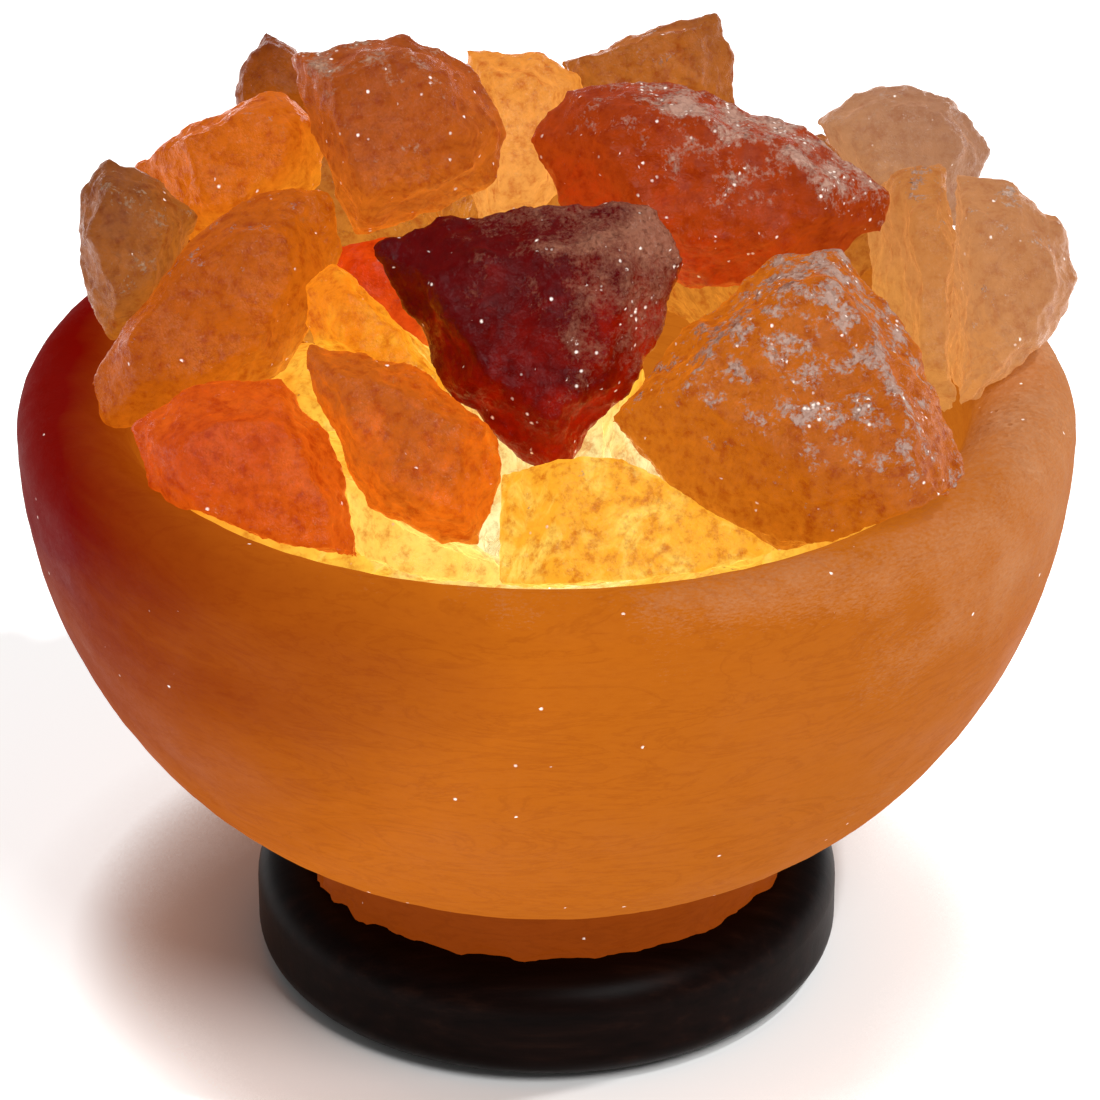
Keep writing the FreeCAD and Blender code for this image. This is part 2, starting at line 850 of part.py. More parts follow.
# Stones of the heap: place of the middle (from the axis, and above the lip), outline as
# (across, up) corners, depth in front of and behind the girdle. Facing is the turn about the
# upright axis and the upward lean of the side that the outline is drawn on.
STONES = {
    "chunk_centre": {
        "at": (-1, -28, 20), "front": 10, "back": 24, "lifts": True, "rank": 3,
        "outline": [(-28, 14), (-17, 20), (0, 21), (18, 21), (24, 12), (16, -9), (3, -24), (-14, -12)],
    },
    "chunk_crown": {
        "at": (-25, 11, 38), "front": 12, "back": 20, "lifts": True, "rank": 2,
        "outline": [(-19, 14), (2, 18), (13, 13), (19, 1), (17, -8), (7, -13), (-8, -18)],
    },
    "chunk_left_peak": {
        "at": (-47, 45, 35), "front": 8, "back": 16, "lifts": False,
        "outline": [(-9, -5), (-6, 4), (-2, 8), (5, 5), (10, -6), (4, -14), (-6, -13)],
    },
    "chunk_left_back": {
        "at": (-55, 21, 30), "front": 10, "back": 22, "lifts": False,
        "outline": [(-18, -1), (-7, 6), (10, 11), (18, 5), (17, -6), (1, -16), (-12, -14)],
    },
    "chunk_left_edge": {
        "at": (-69, 2, 21), "front": 9, "back": 18, "lifts": True,
        "outline": [(-11, 3), (-10, 10), (-5, 15), (4, 12), (11, 6), (6, -10), (-4, -15), (-8, -8)],
    },
    "chunk_left_slab": {
        "at": (-55, -11, 16), "front": 10, "back": 24, "lifts": False,
        "outline": [(-22, -9), (-8, 11), (4, 19), (19, 20), (22, 10), (13, -11), (-4, -20), (-19, -20)],
    },
    "chunk_front_left": {
        "at": (-47, -43, 0), "front": 10, "back": 22, "lifts": False,
        "outline": [(-21, 9), (-9, 17), (4, 17), (12, 9), (19, -7), (21, -17), (5, -18), (-14, -8)],
    },
    "chunk_ember": {
        "at": (-23, -45, 9), "front": 8, "back": 15, "lifts": False, "rank": 2,
        "outline": [(-18, 17), (-8, 15), (5, 10), (16, 3), (16, -8), (13, -18), (6, -18), (-6, -11),
                    (-13, 2)],
    },
    "chunk_front": {
        "at": (18, -46, -4), "front": 7, "back": 22, "lifts": False, "facing": (0, 44),
        "outline": [(-26, -18), (-26, 9), (-19, 12), (-7, 12), (10, 4), (27, -7), (18, -16), (-3, -21)],
    },
    "chunk_big_right": {
        "at": (40, -40, 13), "front": 13, "back": 30, "lifts": False, "rank": 2, "facing": (0, 48),
        "outline": [(-30, -3), (-18, 13), (-3, 26), (8, 28), (20, 11), (28, -11), (30, -24), (21, -28),
                    (2, -27), (-16, -16)],
    },
    "chunk_right_crest": {
        "at": (27, 10, 29), "front": 12, "back": 22, "lifts": False, "rank": 2,
        "outline": [(-31, 8), (-24, 17), (-3, 18), (16, 11), (31, -1), (30, -8), (14, -17), (-3, -18),
                    (-22, -8)],
    },
    "chunk_back_peak": {
        "at": (17, 45, 37), "front": 8, "back": 16, "lifts": True,
        "outline": [(-16, 0), (0, 6), (13, 9), (16, 2), (16, -8), (0, -14), (-12, -12)],
    },
    "chunk_gap": {
        "at": (-3, 32, 30), "front": 8, "back": 20, "lifts": False,
        "outline": [(-11, 14), (2, 14), (11, 7), (8, -10), (0, -16), (-9, -16), (-12, 0)],
    },
    "chunk_right_back": {
        "at": (61, 37, 25), "front": 9, "back": 20, "lifts": True,
        "outline": [(-17, 4), (-9, 9), (1, 11), (10, 8), (16, -1), (11, -14), (-6, -14)],
    },
    "chunk_right_inner": {
        "at": (62, 2, 13), "front": 9, "back": 20, "lifts": False,
        "outline": [(-9, 19), (5, 22), (9, 6), (8, -22), (1, -20), (-8, 0)],
    },
    "chunk_right_edge": {
        "at": (78, 3, 11), "front": 9, "back": 18, "lifts": True,
        "outline": [(-11, 22), (1, 21), (9, 13), (12, 4), (7, -8), (-6, -20), (-11, -22)],
    },
    "chunk_red_gap": {
        "at": (-26, 4, 8), "front": 8, "back": 18, "lifts": False,
        "outline": [(-12, 12), (7, 15), (13, 1), (9, -14), (-8, -14)],
    },
    "chunk_hot_ridge": {
        "at": (-26, -28, 19), "front": 7, "back": 18, "lifts": False, "rank": 1,
        "outline": [(-14, 3), (-14, 9), (-9, 12), (-1, 6), (11, -4), (14, -10), (4, -15), (-9, -10)],
    },
    "chunk_glow": {
        "at": (-21, -41, -7), "front": 6, "back": 18, "lifts": False, "rank": 1,
        "outline": [(-13, 12), (-9, 13), (4, 5), (12, -4), (14, -13), (10, -17), (-6, -17), (-11, -4)],
    },
    "chunk_rear_left": {
        "at": (-42, 57, 6), "front": 10, "back": 24, "lifts": False, "facing": (-145, 24),
        "outline": [(-21, 2), (-12, 14), (6, 17), (20, 8), (22, -10), (8, -20), (-14, -18)],
    },
    "chunk_rear_centre": {
        "at": (2, 66, 8), "front": 10, "back": 22, "lifts": False, "facing": (180, 26),
        "outline": [(-23, -4), (-17, 12), (2, 18), (19, 12), (24, -6), (10, -19), (-12, -18)],
    },
    "chunk_rear_right": {
        "at": (43, 55, 5), "front": 10, "back": 24, "lifts": False, "facing": (140, 24),
        "outline": [(-20, 6), (-8, 17), (9, 16), (21, 4), (19, -14), (2, -21), (-17, -14)],
    },
}
VIEW = (0, 28)
GIRDLE = 1.0
FRONT_SHARE = 0.62
BACK_SHARE = 0.7


def flat_solid(rings):
    """A solid with flat faces between rings of corners, closed at its first and last ring."""
    faces = [rings[0], rings[-1]]
    for low, high in zip(rings, rings[1:]):
        for index in range(len(low)):
            after = (index + 1) % len(low)
            faces.append([low[index], low[after], high[after], high[index]])
    shell = Part.Shell([Part.Face(Part.makePolygon(face + face[:1])) for face in faces])
    solid = Part.Solid(shell)
    if solid.Volume < 0:
        solid.reverse()
    return solid


def cleaved_block(spec):
    """One rough stone before its neighbours are fitted to it."""
    turn, lean = spec.get("facing", VIEW)
    toward = FreeCAD.Rotation(Vector(0, 0, 1), turn).multVec(
        Vector(0, -math.cos(math.radians(lean)), math.sin(math.radians(lean)))
    )
    across = FreeCAD.Rotation(Vector(0, 0, 1), turn).multVec(Vector(1, 0, 0))
    up = toward.cross(across)
    x, y, z = spec["at"]
    middle = Vector(x, y, z) * heap_scale + Vector(0, 0, lip_top_z.number)
    rings = []
    for depth, share in ((spec["front"], FRONT_SHARE), (0, GIRDLE), (-spec["back"], BACK_SHARE)):
        rings.append(
            [
                middle + (across * a * share + up * u * share + toward * depth) * heap_scale
                for a, u in spec["outline"]
            ]
        )
    return flat_solid(rings)


def ring_points(radius, height, sides):
    """Corners of a level regular polygon about the axis."""
    angles = [(index + 0.5) * 2 * math.pi / sides for index in range(sides)]
    return [Vector(radius * math.cos(a), radius * math.sin(a), height) for a in angles]


def bowl_hollow():
    """Flat-sided space inside the bowl, whose corners stop a seat's gap short of the wall."""
    sides = int(size("hollow_sides").number)
    floor = size("floor_height") + gap
    belly = size("belly_height")
    rings = []
    for share in (0.0, 0.3, 0.65, 1.0):
        height = floor + (belly - floor) * share
        radius = (hollow_radius(height) - gap).number
        rings.append(ring_points(radius, (bowl_seat + height).number, sides))
    top = bowl_seat + belly + size("lip_edge") - gap
    rings.append(ring_points(radius, top.number, sides))
    return flat_solid(rings)


def space_over_lip():
    """Space above a flat-sided cone that rests on the crown and inner edge of the lip."""
    crown = size("bowl_radius") - size("lip_round")
    run = crown - opening_radius
    drop = lip_top_z - lip_edge_z
    slope = drop / run
    chord = (run * run + drop * drop).root()
    fall = size("lip_fall")
    bulge = fall - (fall * fall - chord * chord / 4).root()
    flat = math.cos(math.pi / CONE_SIDES)
    rise = gap + crown * slope * (1 - flat) + bulge * chord / run
    rings = []
    for radius, above in ((1.0, 0.0), (FAR, 0.0), (FAR, FAR)):
        height = lip_top_z + rise + slope * (Size(radius) - crown)
        rings.append(ring_points(radius / flat, height.number + above, CONE_SIDES))
    return flat_solid(rings)


def whole(cut):
    """The one solid that a cut leaves."""
    return cut.Solids[0]


def beyond(normal, distance):
    """The half of space past a plane, as a block."""
    block = Part.makeBox(FAR, FAR, FAR, Vector(-FAR / 2, -FAR / 2, 0))
    turn = FreeCAD.Rotation(Vector(0, 0, 1), normal)
    block.Placement = FreeCAD.Placement(normal * distance, turn)
    return block


def face_normals(solid):
    """Outward directions of a flat-sided solid's faces."""
    middle = solid.CenterOfMass
    found = []
    for face in solid.Faces:
        normal = face.normalAt(0, 0)
        if normal.dot(face.CenterOfMass - middle) < 0:
            normal = -normal
        found.append(normal)
    return found


def level(direction):
    """A direction laid level, or nothing where it is nearly upright."""
    flat = Vector(direction.x, direction.y, 0)
    return flat.normalize() if flat.Length > STEEP else None


def corners_of(solid):
    """Every corner of a flat-sided solid."""
    return [corner.Point for corner in solid.Vertexes]


def thinnest_joint(one, other, one_lifts, other_lifts):
    """The plane, from one stone to the other, that takes the thinnest slice off both.

    A stone that lifts out is held only by planes that let it rise.
    """
    tries = face_normals(one) + [-normal for normal in face_normals(other)]
    tries.append((other.CenterOfMass - one.CenterOfMass).normalize())
    tries += [flat for flat in map(level, tries) if flat]
    near = corners_of(one)
    far = corners_of(other)
    best = None
    for normal in tries:
        if one_lifts and normal.z > LEVEL or other_lifts and normal.z < -LEVEL:
            continue
        high = max(normal.dot(corner) for corner in near)
        low = min(normal.dot(corner) for corner in far)
        if best is None or high - low < best[0]:
            best = (high - low, normal, (high + low) / 2)
    return best


def make_bedding():
    """Stones on the bowl's floor that ring the light chamber and carry the heap."""
    count = int(size("bed_count").number)
    ring = size("bed_ring").number
    half = size("bed_width").number / 2
    deep = size("bed_depth").number
    middle = (floor_z - lip_top_z).number / 2
    headroom = size("bed_headroom").number
    unevenness = size("bed_unevenness").number
    stones = {}
    for index in range(count):
        turn = 360 * (index + 0.5) / count
        angle = math.radians(turn - 90)
        tall = -middle - headroom + unevenness * math.sin(2.4 * index)
        stones[f"bed_chunk_{index + 1}"] = {
            "at": (ring * math.cos(angle), ring * math.sin(angle), middle),
            "front": deep, "back": deep, "lifts": False, "rank": -1, "facing": (turn, 0),
            "outline": [
                (-half, middle), (-half, tall * 0.2), (-half * 0.6, tall * 0.9),
                (half * 0.3, tall), (half, tall * 0.5), (half, middle),
            ],
        }
    return stones


def light_chamber():
    """Space kept clear over the bore, round the bulb, closing in towards its top."""
    rings = []
    for radius, rise in (
        (size("chamber_radius"), NONE),
        (size("chamber_radius"), size("chamber_shoulder")),
        (size("chamber_crown"), size("chamber_height")),
    ):
        rings.append(ring_points(radius.number, (floor_z + rise).number, CHAMBER_SIDES))
    return flat_solid(rings)


def make_heap():
    """Cuts every stone to the bowl, the light chamber and its neighbours."""
    bedding = make_bedding()
    hollow = bowl_hollow()
    over_lip = space_over_lip()
    chamber = light_chamber()
    specs = {**STONES, **bedding}
    solids = {}
    for name, spec in specs.items():
        block = cleaved_block(spec)
        solids[name] = whole(block.common(hollow if name in bedding else over_lip))
    names = list(specs)
    for name in names:
        depth, normal, distance = thinnest_joint(chamber, solids[name], False, specs[name]["lifts"])
        if depth > 0:
            solids[name] = whole(solids[name].cut(beyond(-normal, -distance - depth / 2)))
    for index, name in enumerate(names):
        for other in names[index + 1:]:
            fit_pair(solids, specs, name, other)
    for name in names:
        solid = solids[name]
        middle = solid.CenterOfMass
        to_own_middle = FreeCAD.Matrix()
        to_own_middle.move(-middle)
        solid.transformShape(to_own_middle, True)
        piece = doc.addObject("Part::Feature", name)
        piece.Label = name
        piece.Shape = solid
        piece.Placement = FreeCAD.Placement(middle, FreeCAD.Rotation())


def fit_pair(solids, specs, name, other):
    """Leaves a flat joint, one stone gap wide, where two stones would run into each other.

    Stones of one rank share the slice, and a higher rank keeps its shape.
    """
    depth, normal, distance = thinnest_joint(
        solids[name], solids[other], specs[name]["lifts"], specs[other]["lifts"]
    )
    half = stone_gap / 2
    if depth <= -stone_gap:
        return
    lead = specs[name].get("rank", 0) - specs[other].get("rank", 0)
    if lead > 0:
        distance += depth / 2 + half
    if lead < 0:
        distance -= depth / 2 + half
    solids[name] = whole(solids[name].cut(beyond(normal, distance - half)))
    solids[other] = whole(solids[other].cut(beyond(-normal, -distance - half)))


# ---------------------------------------------------------------- whole lamp

make_base()
make_pads()
make_base_screws()
make_cord_bush()
make_bowl()
make_holder()
make_bulb()
make_heap()
doc.recompute()

PATTERNS = ("felt_pad_pattern", "base_screw_pattern", "terminal_screw_pattern")


def sub_parts():
    """The lamp's own pieces: bodies and shapes that aren't a pattern for a group."""
    kinds = ("PartDesign::Body", "Part::Feature", "Part::Torus")
    found = [thing for thing in doc.Objects if thing.TypeId in kinds]
    return [thing for thing in found if thing.Label not in PATTERNS]


for thing in doc.Objects:
    if "Invalid" in thing.State or "Error" in thing.State:
        raise RuntimeError(f"{thing.Label} failed: {thing.State}")
for piece in sub_parts():
    if piece.Shape.isNull() or not piece.Shape.isValid():
        raise RuntimeError(f"{piece.Label} has no valid shape")

os.makedirs("parts", exist_ok=True)
for piece in sub_parts():
    piece.Shape.exportStep(f"parts/{piece.Label}.step")
    box = piece.Shape.BoundBox
    print(
        f"{piece.Label}: {piece.Shape.Volume:.0f} mm3, {len(piece.Shape.Solids)} solid(s),"
        f" x {box.XMin:.1f}..{box.XMax:.1f} y {box.YMin:.1f}..{box.YMax:.1f}"
        f" z {box.ZMin:.1f}..{box.ZMax:.1f}"
    )
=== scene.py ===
# %% [markdown]
# # A salt bowl lamp
#
# This lesson dresses a lamp that is already modelled to its real size. A bowl is turned from one
# block of rock salt and stands on a dark hardwood base. It is heaped with broken pieces of the
# same salt, and a small bulb in the middle of the heap shines out through all of them.
#
# The frame gives every piece its size and place. What follows gives each of them the surface
# that salt, wood, brass or glass has, and never moves them.

# %% Load the frame
import json
import math
import random

import bpy
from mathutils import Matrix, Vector


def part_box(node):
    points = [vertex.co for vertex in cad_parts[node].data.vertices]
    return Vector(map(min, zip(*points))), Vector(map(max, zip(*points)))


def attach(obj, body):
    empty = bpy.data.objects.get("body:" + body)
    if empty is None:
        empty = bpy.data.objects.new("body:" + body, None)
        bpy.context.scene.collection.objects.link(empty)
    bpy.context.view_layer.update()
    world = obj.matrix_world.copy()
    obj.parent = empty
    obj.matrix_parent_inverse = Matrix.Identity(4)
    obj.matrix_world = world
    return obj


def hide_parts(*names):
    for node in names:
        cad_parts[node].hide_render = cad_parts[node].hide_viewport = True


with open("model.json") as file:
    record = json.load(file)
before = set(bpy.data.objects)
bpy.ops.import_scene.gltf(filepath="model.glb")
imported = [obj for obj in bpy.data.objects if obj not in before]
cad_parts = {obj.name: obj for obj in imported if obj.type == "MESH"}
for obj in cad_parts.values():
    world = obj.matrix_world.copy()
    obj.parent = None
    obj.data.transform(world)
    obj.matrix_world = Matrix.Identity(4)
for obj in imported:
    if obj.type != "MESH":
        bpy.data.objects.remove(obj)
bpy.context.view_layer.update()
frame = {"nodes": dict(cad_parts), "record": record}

MM = 0.001

# %% [markdown]
# ## Hands and habits
#
# Most shapes here are made the way a hand would make them: take a piece, cut its corners, round
# its edges, then let modifiers roughen it. Two habits save trouble. Deselect everything before
# selecting what the next tool should touch, and apply a modifier as soon as it is set, so that
# the mesh you see is the mesh you have.


# %% Helpers for modelling
def take(piece):
    """Makes one piece the only selected and active one."""
    bpy.ops.object.select_all(action="DESELECT")
    piece.select_set(True)
    bpy.context.view_layer.objects.active = piece


def shape_with(piece, kind, **settings):
    """Adds a modifier, sets it and applies it."""
    take(piece)
    bpy.ops.object.modifier_add(type=kind)
    modifier = piece.modifiers[-1]
    for name, value in settings.items():
        setattr(modifier, name, value)
    bpy.ops.object.modifier_apply(modifier=modifier.name)


def copy_to_carve(node, name):
    """A copy of a frame piece with its loose triangles joined into one skin."""
    piece = bpy.data.objects.new(name, frame["nodes"][node].data.copy())
    bpy.context.scene.collection.objects.link(piece)
    piece.data.materials.clear()
    take(piece)
    bpy.ops.object.mode_set(mode="EDIT")
    bpy.ops.mesh.select_all(action="SELECT")
    bpy.ops.mesh.remove_doubles(threshold=0.01 * MM)
    bpy.ops.object.mode_set(mode="OBJECT")
    return piece


def body_of(node):
    """The moving body that a frame piece belongs to."""
    bodies = frame["record"]["behaviour"]["bodies"]
    return next(body for body, nodes in bodies.items() if node in nodes)


def slot_of(node):
    """The finish that the record gives a frame piece."""
    return next(s["material_slot"] for s in frame["record"]["subparts"] if s["node"] == node)


print("pieces in the frame:", len(frame["nodes"]))

# %% [markdown]
# ## Broken salt, as a shape
#
# Rock salt breaks along flat planes, then its edges wear and its faces sweat and dry, so a stone
# from such a lamp has broad faces, softened edges and a skin of shallow dents and grains. The
# frame's stones already have the broad faces. Each copy loses a few corners to flat chips, gets
# its edges rounded, is wrapped in an even skin of small faces, and is then dented three times:
# broadly, in nicks, and finely. A dent's middle level says which grey of the texture stays
# where it is. It lies a little past the middle here, so that a stone is hollowed about as much
# as it is raised, keeps its size and doesn't grow into its neighbour.


# %% Textures that dent the stones
def dent_texture(name, size_mm, **settings):
    """A cloudy texture that dents follow, with features of a real size."""
    texture = bpy.data.textures.new(name, "CLOUDS")
    texture.noise_scale = size_mm * MM
    for setting, value in settings.items():
        setattr(texture, setting, value)
    return texture


BROAD_DENTS = dent_texture("broad_dents", 15, noise_depth=1)
NICKS = dent_texture("nicks", 5, noise_depth=3)
GRAINS = dent_texture("grains", 1.6, noise_depth=2)
print("dent sizes:", [round(t.noise_scale / MM, 1) for t in (BROAD_DENTS, NICKS, GRAINS)], "mm")

# %% [markdown]
# A chip is cut by a plane. It looks in some direction for the corner that sticks out furthest,
# steps back from it by the chip's depth, and closes the cut with a flat face. The directions come
# from a generator with a seed of its own, so that each stone breaks the same way every time.


# %% Chip a stone
CHIP_DEPTH = 1.6


def chip_corners(stone, chips, seed):
    """Cuts flat chips off the corners that stick out furthest in some chance directions."""
    chance = random.Random(seed)
    for _ in range(chips):
        turn = chance.uniform(0, 2 * math.pi)
        rise = chance.uniform(-0.9, 0.9)
        level = math.sqrt(1 - rise * rise)
        outward = Vector((level * math.cos(turn), level * math.sin(turn), rise))
        corner = max((v.co for v in stone.data.vertices), key=outward.dot).copy()
        depth = CHIP_DEPTH * chance.uniform(0.4, 1.0) * MM
        bpy.ops.object.mode_set(mode="EDIT")
        bpy.ops.mesh.select_all(action="SELECT")
        bpy.ops.mesh.bisect(
            plane_co=corner - outward * depth, plane_no=outward, use_fill=True, clear_outer=True
        )
        bpy.ops.object.mode_set(mode="OBJECT")


print("chips up to", CHIP_DEPTH, "mm deep")

# %% [markdown]
# The skin's step is as wide as the finest grain that a stone shows, and no finer, because a whole
# heap of stones has to stay light. Wrapping softens every edge a little, and so does the
# smoothing after it, which also hides the steps of the wrapping.


# %% Break a stone
SKIN_STEP = 0.8
SHARP = math.radians(14)


def break_stone(node, seed, rounding=1.0, broad=3.4, nick=2.0, grain=0.75, chips=3):
    """A broken stone in place of a frame stone, rounded and dented by amounts in millimetres."""
    stone = copy_to_carve(node, node.replace("chunk", "stone"))
    chip_corners(stone, chips, seed)
    shape_with(
        stone, "BEVEL", width=rounding * MM, segments=3, limit_method="ANGLE", angle_limit=SHARP,
    )
    shape_with(stone, "REMESH", mode="VOXEL", voxel_size=SKIN_STEP * MM)
    shape_with(stone, "SMOOTH", factor=0.5, iterations=2)
    for texture, depth, still in (
        (BROAD_DENTS, broad, 0.58), (NICKS, nick, 0.52), (GRAINS, grain, 0.55),
    ):
        shape_with(stone, "DISPLACE", texture=texture, strength=depth * MM, mid_level=still)
    take(stone)
    bpy.ops.object.shade_smooth()
    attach(stone, body_of(node))
    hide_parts(node)
    return stone


# The front stone is freshly split and sharp. The dark one and the crown are the roughest.
SHAPES = {
    "chunk_front": dict(rounding=0.4, nick=0.8, broad=1.0, chips=0),
    "chunk_crown": dict(broad=4.5),
    "chunk_left_slab": dict(nick=1.2),
    "chunk_centre": dict(nick=2.4, broad=4.0, chips=2),
}
stones = {}
for seed, node in enumerate(sorted(n for n in frame["nodes"] if "chunk" in n)):
    stones[node] = break_stone(node, seed, **SHAPES.get(node, {}))
print("stones:", len(stones), "faces:", sum(len(s.data.polygons) for s in stones.values()))

# %% [markdown]
# ## The turned bowl, as a shape
#
# A bowl like this is turned on a lathe, so the natural way to draw it is to spin its outline. The
# outline is the frame bowl's own: the copy is sliced by an upright plane through its axis, and
# only one side of the slice is kept. Its long edges are divided, the line is spun once round, and
# the skin then gets what turning and use leave: small pits, and a foot whose lower edge has
# crumbled here and there.

# %% Slice the bowl's outline
bowl = copy_to_carve("salt_bowl", "turned_bowl")
take(bowl)
bpy.ops.object.mode_set(mode="EDIT")
bpy.ops.mesh.select_all(action="SELECT")
bpy.ops.mesh.bisect(plane_co=(0, 0, 0), plane_no=(0, 1, 0), clear_inner=True, clear_outer=True)
bpy.ops.mesh.select_all(action="DESELECT")
bpy.ops.mesh.select_mode(type="VERT")
bpy.ops.object.mode_set(mode="OBJECT")
for vertex in bowl.data.vertices:
    vertex.select = vertex.co.x < 0
bpy.ops.object.mode_set(mode="EDIT")
bpy.ops.mesh.delete(type="VERT")
bpy.ops.object.mode_set(mode="OBJECT")
print("outline corners:", len(bowl.data.vertices), "edges:", len(bowl.data.edges))

# %% Divide the outline's long edges and spin it
RING_STEP = 1.5
SPIN_STEPS = 300
bpy.ops.object.mode_set(mode="EDIT")
while True:
    bpy.ops.mesh.select_mode(type="EDGE")
    bpy.ops.mesh.select_all(action="DESELECT")
    bpy.ops.object.mode_set(mode="OBJECT")
    corners = bowl.data.vertices
    long_edges = 0
    for edge in bowl.data.edges:
        start, end = (corners[i].co for i in edge.vertices)
        edge.select = (end - start).length > RING_STEP * MM
        long_edges += edge.select
    bpy.ops.object.mode_set(mode="EDIT")
    if not long_edges:
        break
    bpy.ops.mesh.subdivide(number_cuts=1)
bpy.ops.mesh.select_mode(type="VERT")
bpy.ops.mesh.select_all(action="SELECT")
bpy.ops.mesh.remove_doubles(threshold=0.2 * MM)
bpy.ops.mesh.spin(
    steps=SPIN_STEPS, angle=2 * math.pi, center=(0, 0, 0), axis=(0, 0, 1), use_auto_merge=True
)
bpy.ops.mesh.select_all(action="SELECT")
bpy.ops.mesh.remove_doubles(threshold=0.05 * MM)
bpy.ops.mesh.normals_make_consistent(inside=False)
bpy.ops.object.mode_set(mode="OBJECT")
print("bowl faces:", len(bowl.data.polygons))

# %% Wear the bowl
PITS = dent_texture("turning_pits", 5, noise_depth=3)
PIT_DEPTH = 0.35
shape_with(bowl, "DISPLACE", texture=PITS, strength=PIT_DEPTH * MM, mid_level=1.0)
print("pits up to", PIT_DEPTH, "mm deep")

# %% [markdown]
# Only the foot's lower edge crumbles. Its points form a group in which each has a weight, from
# nothing at the top of the worn strip to full at the edge, and the dents go in by that weight.

# %% Crumble the foot's lower edge
EDGE_CHIPS = dent_texture("edge_chips", 6, noise_depth=3, contrast=1.5)
WORN_HEIGHT = 7
FOOT_INSIDE = 36
foot_low = min(vertex.co.z for vertex in bowl.data.vertices)
foot_edge = bowl.vertex_groups.new(name="foot_edge")
for vertex in bowl.data.vertices:
    height = (vertex.co.z - foot_low) / MM
    out = math.hypot(vertex.co.x, vertex.co.y) / MM
    if out > FOOT_INSIDE and height < WORN_HEIGHT:
        foot_edge.add([vertex.index], 1 - height / WORN_HEIGHT, "REPLACE")
shape_with(
    bowl, "DISPLACE", texture=EDGE_CHIPS, strength=3.2 * MM, mid_level=0.8,
    vertex_group="foot_edge",
)
take(bowl)
bpy.ops.object.shade_smooth()
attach(bowl, body_of("salt_bowl"))
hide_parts("salt_bowl")
print("crumbled edge:", WORN_HEIGHT, "mm high, outside a radius of", FOOT_INSIDE, "mm")

# %% [markdown]
# ## Colours and nodes
#
# Colours are written as they are read off a screen, in hex, and turned into the linear light that
# the renderer works in. One small function adds any node, sets it and wires it.


# %% Helpers for materials
def linear(hex_colour):
    """An sRGB hex colour as linear red, green, blue and full alpha."""
    channels = [int(hex_colour[i:i + 2], 16) / 255 for i in (1, 3, 5)]
    return [c / 12.92 if c <= 0.04045 else ((c + 0.055) / 1.055) ** 2.4 for c in channels] + [1.0]


def add(tree, kind, sockets=None, stops=None, **settings):
    """Adds a node. A socket takes a value, or another node's output to be linked to it."""
    node = tree.nodes.new(kind)
    for name, value in settings.items():
        setattr(node, name, value)
    for name, value in (sockets or {}).items():
        if isinstance(value, bpy.types.NodeSocket):
            tree.links.new(value, node.inputs[name])
        else:
            node.inputs[name].default_value = value
    if stops:
        elements = node.color_ramp.elements
        while len(elements) < len(stops):
            elements.new(1.0)
        for element, (place, colour) in zip(elements, stops):
            element.position = place
            element.color = linear(colour) if isinstance(colour, str) else [colour] * 3 + [1.0]
    return node


def new_material(name):
    """An empty material and its node tree."""
    material = bpy.data.materials.new(name)
    material.use_nodes = True
    material.node_tree.nodes.clear()
    return material, material.node_tree


def per_mm(size_mm):
    """The noise scale whose features are about this many millimetres across."""
    return 1 / (size_mm * MM)


print("linear orange:", [round(c, 3) for c in linear("#C8691A")])

# %% [markdown]
# ## Rock salt, lit from inside
#
# Rock salt is halite: nearly clear, with an index of 1.54, clouded by cracks, brine and red iron
# oxide. Light from the bulb wanders through a stone and comes out tinted, strongest close to the
# bulb and where the salt is clear. Following every ray through the salt would be slow and full of
# grain, so the light that comes out is painted as emission instead. One group of nodes does it
# for every stone, and each stone only sets the group's inputs.

# %% Where the light comes from
glass_low, glass_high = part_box("bulb_glass")
BULB = Vector((0, 0, glass_high.z - (glass_high.x - glass_low.x) / 2))
print("bulb centre:", round(BULB.z / MM, 1), "mm up")

# %% [markdown]
# The inputs are the salt's three colours, which are also its painted glow, from far from the bulb
# to close to it, and the frost's.
# Skin is the share of its own colour that the salt gives back from the light of the room, and
# Facets says how far its small crystal faces are tilted. The two leans are directions in which
# the glow or the frost grows from the stone's middle. Stretch squeezes the clouds along an axis,
# so that turned salt shows the turner's level lines. What is the same all over a stone, such as
# its index or its sheen, isn't an input: it is set on that stone's own shader.

# %% The inputs of the salt
lit_salt = bpy.data.node_groups.new("lit_rock_salt", "ShaderNodeTree")
SALT_INPUTS = {
    "Deep": "#A04A12", "Body": "#C4661A", "Bright": "#E8841E", "Frost Colour": "#A88C80",
    "Near": 40 * MM, "Far": 95 * MM, "Clouds": 0.45, "Cloud Scale": per_mm(13), "Veins": 0.4,
    "Mottle": 0.7, "Frost": 0.2, "Frost Scale": per_mm(5), "Frost Blend": 0.1, "Specks": 0.3,
    "Gloss": 0.14, "Skin": 0.02, "Relief": 0.9, "Facets": 0.38,
    "Middle": (0, 0, 0), "Glow Lean": (0, 0, 0), "Frost Lean": (0, 0, 0), "Stretch": (1, 1, 1),
}
KINDS = {str: "NodeSocketColor", float: "NodeSocketFloat", tuple: "NodeSocketVector"}
for name, value in SALT_INPUTS.items():
    socket = lit_salt.interface.new_socket(
        name=name, in_out="INPUT", socket_type=KINDS[type(value)]
    )
    socket.default_value = linear(value) if isinstance(value, str) else value
SALT_OUTPUTS = {
    "Skin Colour": "NodeSocketColor", "Roughness": "NodeSocketFloat",
    "Normal": "NodeSocketVector", "Light": "NodeSocketColor",
}
for name, kind in SALT_OUTPUTS.items():
    lit_salt.interface.new_socket(name=name, in_out="OUTPUT", socket_type=kind)
inside = add(lit_salt, "NodeGroupInput").outputs
print("salt inputs:", len(SALT_INPUTS))

